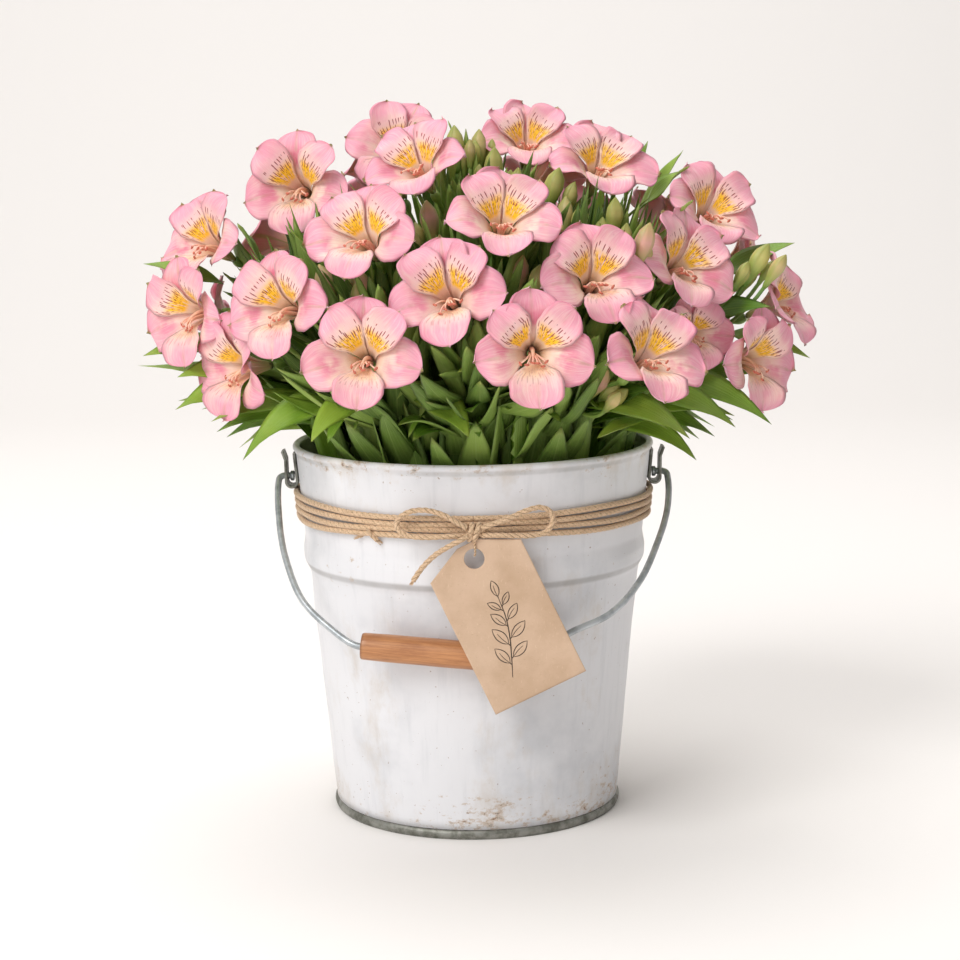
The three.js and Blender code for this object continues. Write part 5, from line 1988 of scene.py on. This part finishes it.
# The shade pairs run from dark to bright; the darker ranges of the runs deep in the bunch (heart, whorl) are
# partly painted shade.
SPIRALS: dict[Run, Spiral] = {
    Run.RIM: Spiral(7, (160, 194), (93, 88), (210, 244), (-12, -6), (20, 18), 6, (0.25, 0.9)),
    Run.EDGE: Spiral(3, (172, 190), (93, 90), (206, 216), (-8, -4), (20, 18), 20, (0.35, 0.9)),
    Run.SKIRT: Spiral(8, (199, 222), (124, 177), (190, 248), (26, 5), (16, 14), 50, (0.5, 1.0)),
    Run.CAPE: Spiral(8, (199, 222), (118, 145), (190, 240), (26, 5), (16, 14), 40, (0.4, 1.0)),
    Run.WHORL: Spiral(3, (196, 208), (60, 48), (262, 296), (-4, 0), (20, 18), 10, (0.1, 0.7)),
    Run.HEART: Spiral(6, (178, 222), (46, 30), (250, 300), (-10, -4), (22, 20), 0, (0.0, 0.5)),
    Run.CROWN: Spiral(6, (236, 256), (58, 26), (312, 340), (-6, 0), (14, 12), 20, (0.3, 0.8)),
}
STEMS: tuple[StemPlan, ...] = (
    StemPlan(Stem.FRONT_LEFT, -36, 40, (Run.RIM, Run.WHORL), 6),
    StemPlan(Stem.FRONT, 3, 38, (Run.RIM, Run.WHORL), 22),
    StemPlan(Stem.FRONT_RIGHT, 41, 36, (Run.RIM, Run.WHORL), 35),
    StemPlan(Stem.RIGHT, 76, 32, (Run.EDGE, Run.SKIRT, Run.WHORL), 5),
    StemPlan(Stem.RIGHT_BACK, 107, 32, (Run.SKIRT, Run.WHORL), 5),
    StemPlan(Stem.BACK_RIGHT, 143, 40, (Run.CAPE, Run.WHORL), 26),
    StemPlan(Stem.BACK, -168, 46, (Run.CAPE, Run.WHORL), 22),
    StemPlan(Stem.BACK_LEFT, -120, 44, (Run.CAPE, Run.WHORL), 19),
    StemPlan(Stem.LEFT, -79, 40, (Run.EDGE, Run.SKIRT, Run.WHORL), 5),
    StemPlan(Stem.CENTRE, 0, 360, (Run.HEART, Run.CROWN), 8),
)
# The last number of each spray is its tone from dark to bright; the darkest ones, behind the blooms, are partly
# painted shade.
SPRAYS: tuple[Spray, ...] = (
    Spray(Stem.LEFT, (-128, -8, 279), (-168, -20, 291), 4, 11, -50, 0.7),
    Spray(Stem.FRONT_LEFT, (-102, -18, 280), (-117, -40, 312), 2, 14, -50, 0.4),
    Spray(Stem.LEFT, (-117, -16, 249), (-169, -25, 244), 6, 13, -60, 0.8),
    Spray(Stem.LEFT, (-108, -28, 238), (-149, -45, 235), 5, 14, -60, 0.95),
    Spray(Stem.LEFT, (-103, -28, 231), (-150, -50, 219), 7, 16, -60, 0.85),
    Spray(Stem.FRONT_LEFT, (-80, -38, 222), (-131, -60, 214), 9, 14, -45, 0.8),
    Spray(Stem.FRONT_LEFT, (-68, -58, 222), (-113, -85, 198), 18, 16, -45, 0.75),
    Spray(Stem.FRONT_LEFT, (-56, -66, 222), (-78, -102, 209), 13, 14, -35, 0.95),
    Spray(Stem.FRONT, (-26, -74, 226), (-2, -114, 212), 12, 19, 20, 0.95),
    Spray(Stem.FRONT, (22, -84, 240), (-7, -112, 243), 6, 12, -20, 0.95),
    Spray(Stem.FRONT, (20, -66, 190), (39, -95, 224), -4, 19, 30, 0.7),
    Spray(Stem.FRONT_RIGHT, (52, -66, 220), (105, -100, 208), 17, 18, 40, 0.85),
    Spray(Stem.FRONT_RIGHT, (70, -50, 226), (130, -76, 210), 17, 17, 45, 0.8),
    Spray(Stem.RIGHT, (80, -36, 230), (150, -60, 209), 20, 17, 50, 0.75),
    Spray(Stem.RIGHT, (134, -5, 250), (175, -20, 238), 5, 12, 50, 0.8),
    Spray(Stem.RIGHT_BACK, (128, 2, 278), (168, -10, 297), 4, 15, 50, 0.6),
    Spray(Stem.RIGHT, (114, -22, 260), (151, -46, 267), 4, 15, 50, 0.3),
    Spray(Stem.CENTRE, (88, 18, 312), (112, 10, 345), 0, 13, 40, 0.9),
    Spray(Stem.CENTRE, (82, 28, 318), (95, 28, 350), 0, 11, 40, 0.6),
    Spray(Stem.CENTRE, (90, 8, 315), (114, -5, 337), 3, 14, 40, 0.8),
    Spray(Stem.RIGHT, (95, -22, 297), (112, -44, 321), 3, 13, 40, 0.95),
    Spray(Stem.CENTRE, (0, 20, 334), (-11, 20, 362), 0, 10, 0, 0.8),
    Spray(Stem.CENTRE, (6, 25, 338), (15, 25, 362), 0, 9, 0, 0.85),
    Spray(Stem.FRONT_RIGHT, (96, -66, 214), (60, -102, 209), 6, 16, 0, 0.9),
    Spray(Stem.LEFT, (-117, 12, 284), (-126, -10, 312), 0, 15, -40, 0.5),
    Spray(Stem.LEFT, (-108, 6, 262), (-128, -14, 286), 0, 16, -50, 0.3),
)
BUDS: tuple[tuple[Point, Stem], ...] = (
    ((-7, -10, 348), Stem.CENTRE), ((5, -2, 347), Stem.CENTRE), ((12, -12, 336), Stem.CENTRE),
    ((-20, -44, 311), Stem.FRONT), ((42, -30, 326), Stem.CENTRE), ((48, -38, 313), Stem.FRONT_RIGHT),
    ((72, -44, 312), Stem.RIGHT), ((84, -78, 300), Stem.FRONT_RIGHT), ((24, -70, 286), Stem.FRONT),
    ((-54, -62, 279), Stem.FRONT_LEFT), ((-72, -50, 280), Stem.FRONT_LEFT), ((62, -84, 234), Stem.FRONT_RIGHT),
    ((146, -30, 288), Stem.RIGHT),
)


@dataclass
class Space:
    """The space that the blooms take up, which leaves and buds keep clear of."""

    plans: list[BloomPlan]
    depth: float = 24.0
    margin: float = 3.5
    limb: float = 29.0
    limb_top: float = 7.0
    funnel: tuple[tuple[float, ...], tuple[float, ...]] = (
        (-26.0, -24.0, -12.0, -6.0, 0.0, 3.0, 5.0, 8.0, 9.0), (0.0, 3.5, 5.5, 8.5, 13.0, 23.0, 31.0, 30.0, 0.0))

    def __post_init__(self) -> None:
        """Keeps each bloom's seat, facing and size."""
        self.seats = np.array([plan.seat for plan in self.plans], float)
        self.facings = np.array([plan.facing() for plan in self.plans])
        self.sizes = np.array([plan.size for plan in self.plans])

    def is_clear(self, point: Array, close: bool = False) -> bool:
        """Whether a point keeps clear of every bloom's funnel and limb.

        Args:
            point: the point.
            close: whether it may come close to the funnels, as the thin fillers do.

        Returns:
            True where no bloom is in the way.
        """
        offset = point - self.seats
        level = (offset * self.facings).sum(1)
        radius = np.linalg.norm(offset - self.facings * level[:, None], axis=1) / self.sizes
        height = level / self.sizes
        if close:
            return bool((radius > np.interp(height, *self.funnel, left=0.0, right=0.0)).all())
        climb = np.clip((height + self.depth + self.margin) / (self.depth + 8), 0.0, 1.0)
        beside = (height < -self.depth - self.margin) | (height > self.limb_top + self.margin)
        return bool((beside | (radius > self.margin + 3 + self.limb * (1 - (1 - climb) ** 0.45))).all())


@dataclass
class LeafyStem:
    """One leafy stem with its leaves, the rays of its blooms and its buds."""

    plan: StemPlan
    space: Space
    radius: float = 2.5
    taper: float = 0.15
    umbel_share: float = 0.985
    foot: float = 4.2
    lean: Sequence[Pair] = ((42, 110), (50, 190), (64, 230))
    ray_radius: float = 1.2
    ray_bend: float = 0.35
    ray_rise: float = 0.5
    ovary: float = 2.8
    ovary_length: float = 7.0
    clear: float = 0.3
    bud_length: float = 25.0
    bud_outline: tuple[tuple[float, ...], tuple[float, ...]] = (
        (0.0, 0.1, 0.24, 0.42, 0.6, 0.78, 0.92, 1.0), (1.3, 2.2, 2.6, 4.1, 5.0, 4.3, 2.1, 0.35))
    bare_radius: float = 1.9
    leaf_thickness: float = 0.5
    fullness: float = 1.16
    golden: float = 0.382
    tries: int = 80
    crowd_leaves: tuple[int, int] = (40, 16)
    crowd_spread: tuple[Pair, Pair] = ((26, 60), (60, 90))
    crowd_top: Pair = (226, 280)
    bare_stalks: tuple[int, int] = (8, 5)
    thicket_leaves: tuple[int, int] = (150, 90)
    thicket_climb: tuple[Pair, Pair] = ((38, 88), (2, 58))
    drape_leaves: int = 10
    sibling_buds: int = 5
    dome_radius: float = 138.0
    dome_foot: float = 226.0
    dome_rise: float = 128.0
    probes: tuple[float, ...] = (0.2, 0.35, 0.5, 0.65, 0.8, 0.9, 1.0)

    def __post_init__(self) -> None:
        """Lays out the stem's line from the floor of the pail to its umbel."""
        self.skin = Skin()
        self.own = Draws(70 + self.plan.seed)
        if self.plan.is_inner():
            self.route = SmoothLine([(0, 0, self.foot), (2, 1, 110), (0, 2, 195), (0, 4, 262)])
        else:
            self.route = SmoothLine([polar(self.plan.compass, radius, height)
                                     for radius, height in ((30, self.foot), *self.lean)])
        self.umbel = self.route.at(self.umbel_share)

    def share_at(self, height: float) -> float:
        """The share of the stem at which it reaches a height.

        Args:
            height: the height.

        Returns:
            The share, to the next 200th.
        """
        share = 0.0
        while share < 1 and self.route.at(share)[2] < height:
            share += 0.005
        return min(share, 1.0)

    @staticmethod
    def arc(root: Array, tip: Array, arch: float) -> Line:
        """A leaf's middle line, which stands over the straight way by half the arch."""
        return BentLine(root, (root + tip) / 2 + UP * arch, tip)

    @staticmethod
    def leaf_frame(line: Line, bank: float, share: float) -> tuple[Array, Array, Array]:
        """The frame of a leaf at a share of its length.

        Args:
            line: its middle line.
            bank: how far it is turned to face sideways, in degrees.
            share: the share of its length.

        Returns:
            Its middle, its sideways direction and its normal.
        """
        along = line.tangent(share)
        level = unit(np.cross(UP, along))
        across = turned_about(level, along, bank * math.sin(math.pi * share))
        return line.at(share), across, unit(np.cross(along, across))

    def leaf(self, root: Array, tip: Array, arch: float, width: float, bank: float, draws: Draws,
             shade: Pair, curl: float = 0.0) -> bool:
        """Adds a leaf along a bent line, unless a bloom is in its way.

        Args:
            root: where it leaves the stem.
            tip: where it ends.
            arch: how far its line is drawn up at the middle.
            width: its breadth.
            bank: how far it is turned to face sideways, in degrees.
            draws: draws for its own small waves and shade.
            shade: the darkest and lightest shade that it may have.
            curl: how far a filler may twist along its length, in degrees.

        Returns:
            Whether it was added.
        """
        line = self.arc(root, tip, arch)
        for share in self.probes:
            middle, across, _ = self.leaf_frame(line, bank, share)
            half = 0.0 if share == 1 else width / 2
            if not all(self.space.is_clear(middle + across * side * half, curl > 0) for side in (-1, 0, 1)):
                return False
        breadth = width * (1.0 if curl else self.fullness)
        self.blade(line, breadth, bank, max(curl, 10.0), draws.between(*shade), draws)
        return True

    def blade(self, line: Line, width: float, bank: float, curl: float, shade: float, draws: Draws) -> None:
        """Adds the blade of a leaf along a line.

        Args:
            line: its middle line.
            width: its breadth.
            bank: how far it is turned to face sideways, in degrees.
            curl: how far it may twist along its length, in degrees.
            shade: from dark at 0 to bright at 1.
            draws: the draws for its own small waves.
        """
        phase, beat = draws.phase(), draws.between(0.8, 1.6)
        shares = np.linspace(0.0, 1.0, 14)
        across_shares = np.linspace(-1, 1, 7 if curl < 20 else 5)
        half = width / 2 * np.maximum(np.sin(np.pi * shares**0.74) ** 0.75, 0.10 * (1 - shares) + 0.015)
        turn = draws.about(curl)
        grid = np.empty((len(shares), len(across_shares), 3))
        for row, share in enumerate(shares):
            middle, across, normal = self.leaf_frame(line, bank, float(share))
            angle = math.radians(turn) * math.sin(math.pi * share + phase)
            aside = across * math.cos(angle) + normal * math.sin(angle)
            over = normal * math.cos(angle) - across * math.sin(angle)
            wave = 0.10 * math.sin(2 * math.pi * beat * share + phase)
            lift = half[row] * (0.17 * np.abs(across_shares) + wave * across_shares)
            grid[row] = middle + aside * (across_shares * half[row])[:, None] + over * lift[:, None]
        self.skin.shell(grid, shares, self.leaf_thickness, (Coat.LEAF, Coat.LEAF_BACK), shade)

    def spiral(self, spiral: Spiral, draws: Draws) -> None:
        """Adds one spiral of leaves, each in its own slot of the sector.

        Args:
            spiral: the leaves' plan.
            draws: the draws that place the leaves.
        """
        sector = 360.0 if self.plan.is_inner() else self.plan.sector - 10.0
        for leaf in range(spiral.count):
            climb = leaf / (spiral.count - 1)

            def along(pair: Pair, spread: float) -> float:
                """The leaf's own number between those of the lowest and the highest leaf."""
                return pair[0] + (pair[1] - pair[0]) * climb + draws.about(spread)

            slot = (leaf * self.golden) % 1 - 0.5
            for _ in range(self.tries):
                compass = self.plan.compass + slot * sector + draws.about(2)
                root = self.route.at(self.share_at(along(spiral.root, 0)))
                tip = polar(compass, along(spiral.reach, 5), along(spiral.height, 3))
                bank = spiral.bank * math.sin(math.radians(compass)) + draws.about(6)
                arch = along(spiral.arch, 2)
                if self.leaf(root, tip, arch, along(spiral.width, 1), bank, self.own, spiral.shade):
                    break

    def ray(self, bloom: BloomPlan) -> None:
        """Adds the ray that carries a bloom, ending in the ribbed green ovary.

        Args:
            bloom: the bloom that it carries.
        """
        start, facing = self.umbel, bloom.facing()
        base = np.array(bloom.seat) - facing * (self.space.depth * bloom.size + self.clear)
        reach = float(np.linalg.norm(base - start))
        outward = unit(unit(base - start) + UP * self.ray_rise)
        line = BentLine(start, start + outward * reach * self.ray_bend, base - facing * reach * self.ray_bend,
                        base + facing * 1.4)
        ovary = 1 - self.ovary_length / reach
        shares = np.concatenate([np.linspace(0, ovary, 14), ovary + (1 - ovary) * np.linspace(0.12, 1, 8)])
        swell = np.sin(np.pi * np.clip((shares - ovary) / (1 - ovary), 0, 1) * 0.80) ** 1.2
        radii = self.ray_radius * 0.95 + (self.ovary - self.ray_radius) * swell
        shape = 1 - 0.11 * swell[:, None] * (0.5 + 0.5 * np.cos(6 * ring_angles(18)))
        self.skin.tube(line.sample(shares), radii, 18, Coat.STALK, 0.6, shape=shape)

    def bud(self, middle: Array, length: float, tint: float) -> None:
        """Adds a closed bud on its own stalk.

        Args:
            middle: the middle of the bud.
            length: the bud's length.
            tint: from green at 0 to rosy at 1.
        """
        start = self.umbel
        along = unit(unit(middle - start) + UP * 0.8)
        base = middle - along * length / 2
        reach = float(np.linalg.norm(base - start))
        stalk = BentLine(start, base - along * reach * 0.4, base)
        self.skin.tube(stalk.spaced(12), self.ray_radius * 0.85, 10, Coat.STALK, 0.6)
        shares = np.linspace(0, 1, 20)
        swell = np.interp(shares, *self.bud_outline) * length / self.bud_length
        angle = ring_angles(24)
        lobes = np.abs(np.sin(1.5 * (angle + 0.9 * shares[:, None] + self.own.between(0, 2))))
        ribs = 0.84 + 0.24 * lobes**0.6 + 0.02 * np.cos(6 * angle)
        lean = self.own.about(0.8) * np.cross(along, UP)
        centres = base - along * 2 + along * (shares * (length + 2))[:, None] + lean * (shares**2)[:, None]
        self.skin.tube(centres, swell, 24, Coat.BUD, tint, shape=ribs)

    def siblings(self, middle: Array) -> None:
        """Adds the small green buds beside a bud.

        Args:
            middle: the middle of the larger bud.
        """
        own, is_clear = self.own, self.space.is_clear
        for _ in range(self.sibling_buds):
            place = middle + polar(own.between(0, 360), own.between(7, 13), -own.between(2, 12))
            if is_clear(place, True) and is_clear(place + UP * 6, True):
                self.bud(place, own.between(12, 20), own.between(0.0, 0.5))

    def crowd(self) -> None:
        """Adds the dark leaves and bare stalks that crowd the mouth of the pail; the leaves' darkness is partly
        painted shade.
        """
        draws, own = self.plan.draws(500), self.plan.draws(900)
        for _ in range(self.plan.pick(self.crowd_leaves)):
            compass = self.plan.aside(8, draws)
            spread = draws.between(*self.plan.pick(self.crowd_spread))
            rise = draws.between(*self.crowd_top)
            foot = polar(compass, spread * draws.between(0.55, 0.8), draws.between(120, 175))
            tip = polar(compass + draws.about(14), spread + (rise - self.crowd_top[0]) * 0.2, rise)
            self.leaf(foot, tip, draws.between(-12, 4), draws.between(13, 19), draws.about(70), own,
                      (0.15, 0.8), 40)
        for _ in range(self.plan.pick(self.bare_stalks)):
            compass = self.plan.aside(8, draws)
            foot = polar(compass, draws.between(34, 66), 120.0)
            knee = (foot + self.umbel) / 2 + polar(compass, draws.between(-4, 14), 0)
            self.skin.tube(BentLine(foot, knee, self.umbel).spaced(14), self.bare_radius, 10, Coat.STALK)

    def thicket(self) -> None:
        """Adds the leaves that stand between the blooms, up to the dome's surface."""
        draws, own = self.plan.draws(1300), self.plan.draws(1600)
        for _ in range(self.plan.pick(self.thicket_leaves)):
            compass = self.plan.aside(6, draws)
            climb = math.radians(draws.between(*self.plan.pick(self.thicket_climb)))
            reach = draws.between(0.80, 1.03)
            tip = polar(compass, self.dome_radius * math.cos(climb) * reach,
                        self.dome_foot + self.dome_rise * math.sin(climb) * reach)
            foot = self.umbel + (tip - self.umbel) * draws.between(0.0, 0.3) - UP * draws.between(4, 22)
            self.leaf(foot, tip, draws.between(-14, 10), draws.between(10, 15), draws.about(60), own,
                      (0.1, 0.9), 30)

    def drape(self) -> None:
        """Adds the broad leaves that bend out over the rim."""
        draws, own = self.plan.draws(300), self.plan.draws(600)
        for leaf in range(self.drape_leaves):
            slot = (leaf * self.golden) % 1 - 0.5
            compass = self.plan.compass + slot * (self.plan.sector + 4) + draws.about(4)
            foot = polar(compass + draws.about(20), draws.between(50, 66), draws.between(186, 204))
            tip = polar(compass, draws.between(88, 112), draws.between(203, 236))
            self.leaf(foot, tip, draws.between(12, 30), draws.between(14, 20), draws.about(35), own,
                      (0.35, 1.0), 35)

    def build(self) -> None:
        """Builds the stem with all that it carries."""
        stem, draws = self.plan.name, Draws(self.plan.seed)
        shares = np.linspace(0, 1, 40)
        self.skin.tube(self.route.sample(shares), self.radius * (1 - self.taper * shares), 14, Coat.STALK)
        for run in self.plan.leaves:
            self.spiral(SPIRALS[run], draws)
        for bloom in self.space.plans:
            if bloom.stem is stem:
                self.ray(bloom)
        for middle in (np.array(place, float) for place, carrier in BUDS if carrier is stem):
            self.bud(middle, self.bud_length * self.own.between(0.8, 1.0), self.own.next())
            self.siblings(middle)
        self.crowd()
        self.thicket()
        if not self.plan.is_inner():
            self.drape()
        for spray in (spray for spray in SPRAYS if spray.stem is stem):
            line = self.arc(np.array(spray.root, float), np.array(spray.tip, float), spray.arch)
            self.blade(line, spray.width, spray.bank, 12.0, spray.shade, self.own)
        self.skin.build(f"leafy_stem_{stem.value}", Body.PAIL, Slot.LEAF, [f"stem_{stem.value}"])


# ---------------------------------------- stage


@dataclass
class Stage:
    """The camera, the pale floor that rises behind, and the soft light."""

    eye: Point = (0.0, -1.16814, 0.358854)
    pitch: float = 9.0266
    yaw: float = 0.1743
    roll: float = -0.7074
    lens: float = 83.65
    sensor: float = 36.0
    half_floor: float = 6.0
    bend_start: float = 1.6
    bend_radius: float = 1.2
    backdrop_height: float = 5.0
    room_colour: tuple[float, ...] = (1.0, 0.985, 0.97, 1.0)
    room_strength: float = 0.37

    def camera(self) -> None:
        """Places the camera and makes it the scene's own."""
        pitch, yaw, roll = (math.radians(angle) for angle in (self.pitch, self.yaw, self.roll))
        ahead = np.array([math.sin(yaw) * math.cos(pitch), math.cos(yaw) * math.cos(pitch), -math.sin(pitch)])
        right = np.array([math.cos(yaw), -math.sin(yaw), 0.0])
        top = np.cross(right, ahead)
        across = right * math.cos(roll) + top * math.sin(roll)
        up = -right * math.sin(roll) + top * math.cos(roll)
        data = bpy.data.cameras.new("camera")
        data.lens, data.sensor_width = self.lens, self.sensor
        data.clip_start, data.clip_end = 0.05, 50.0
        camera = bpy.data.objects.new("camera", data)
        bpy.context.scene.collection.objects.link(camera)
        rows = [[across[i], up[i], -ahead[i], self.eye[i]] for i in range(3)]
        camera.matrix_world = Matrix(rows + [[0, 0, 0, 1]])
        bpy.context.scene.camera = camera

    def lamp(self, name: str, place: Point, size: float, power: float, colour: Colour,
             aim: Point = (0.0, 0.0, 0.2)) -> None:
        """Adds a soft square lamp.

        Args:
            name: its name.
            place: where it stands, in metres.
            size: the length of its side, in metres.
            power: its power in watts.
            colour: its colour.
            aim: the point that it looks at, in metres.
        """
        data = bpy.data.lights.new(name, "AREA")
        data.size, data.energy, data.color = size, power, colour
        lamp = bpy.data.objects.new(name, data)
        bpy.context.scene.collection.objects.link(lamp)
        lamp.location = place
        lamp.rotation_euler = (Vector(aim) - Vector(place)).to_track_quat("-Z", "Y").to_euler()

    def floor(self) -> None:
        """Builds the floor and the backdrop that it curves into."""
        start, curve, side = self.bend_start, self.bend_radius, self.half_floor
        bend = [(start + curve * math.sin(angle), curve - curve * math.cos(angle))
                for angle in np.linspace(0, math.pi / 2, 24)]
        outline = [(-side, 0.0), *bend, (start + curve, self.backdrop_height)]
        points = [(x, y, z) for y, z in outline for x in (-side, side)]
        faces = [(2 * k, 2 * k + 1, 2 * k + 3, 2 * k + 2) for k in range(len(outline) - 1)]
        mesh = bpy.data.meshes.new("pale_floor")
        mesh.from_pydata(points, [], faces)
        mesh.materials.append(dressed(Coat.FLOOR))
        mesh.polygons.foreach_set("use_smooth", [True] * len(faces))
        floor = bpy.data.objects.new("pale_floor", mesh)
        bpy.context.scene.collection.objects.link(floor)

    def light(self) -> None:
        """Sets the lamps and the even light of the room."""
        self.lamp("key", (-1.65, -1.95, 2.38), 1.6, 66.0, (1.0, 0.99, 0.975))
        self.lamp("fill", (-0.9, -1.7, 0.6), 1.2, 5.5, (0.99, 0.995, 1.0))
        self.lamp("top", (-0.2, 0.3, 2.1), 1.2, 15.0, (1.0, 0.99, 0.98))
        self.lamp("back", (0.0, 1.2, 2.6), 2.4, 19.0, (1.0, 0.98, 0.965), (0.0, 2.6, 0.9))
        world = bpy.data.worlds.new("room")
        world.use_nodes = True
        shade = world.node_tree.nodes["Background"]
        shade.inputs["Color"].default_value = self.room_colour
        shade.inputs["Strength"].default_value = self.room_strength
        bpy.context.scene.world = world
        bpy.context.scene.view_settings.view_transform = "Standard"

    def build(self) -> None:
        """Builds the floor and the light."""
        self.floor()
        self.light()


def main() -> None:
    """Builds every part in order."""
    logging.basicConfig(level=logging.INFO, format="%(message)s")
    stage = Stage()
    stage.camera()
    pail = Pail()
    twine = Twine(pail)
    twine.build_cords()
    pail.build()
    Bail().build()
    twine.build_wrap()
    Tag().build()
    plans = Dome().plans()
    for number, plan in enumerate(plans, 1):
        Bloom(plan, number).build()
    space = Space(plans)
    for stem in STEMS:
        LeafyStem(stem, space).build()
    stage.build()


if __name__ == "__main__":
    main()
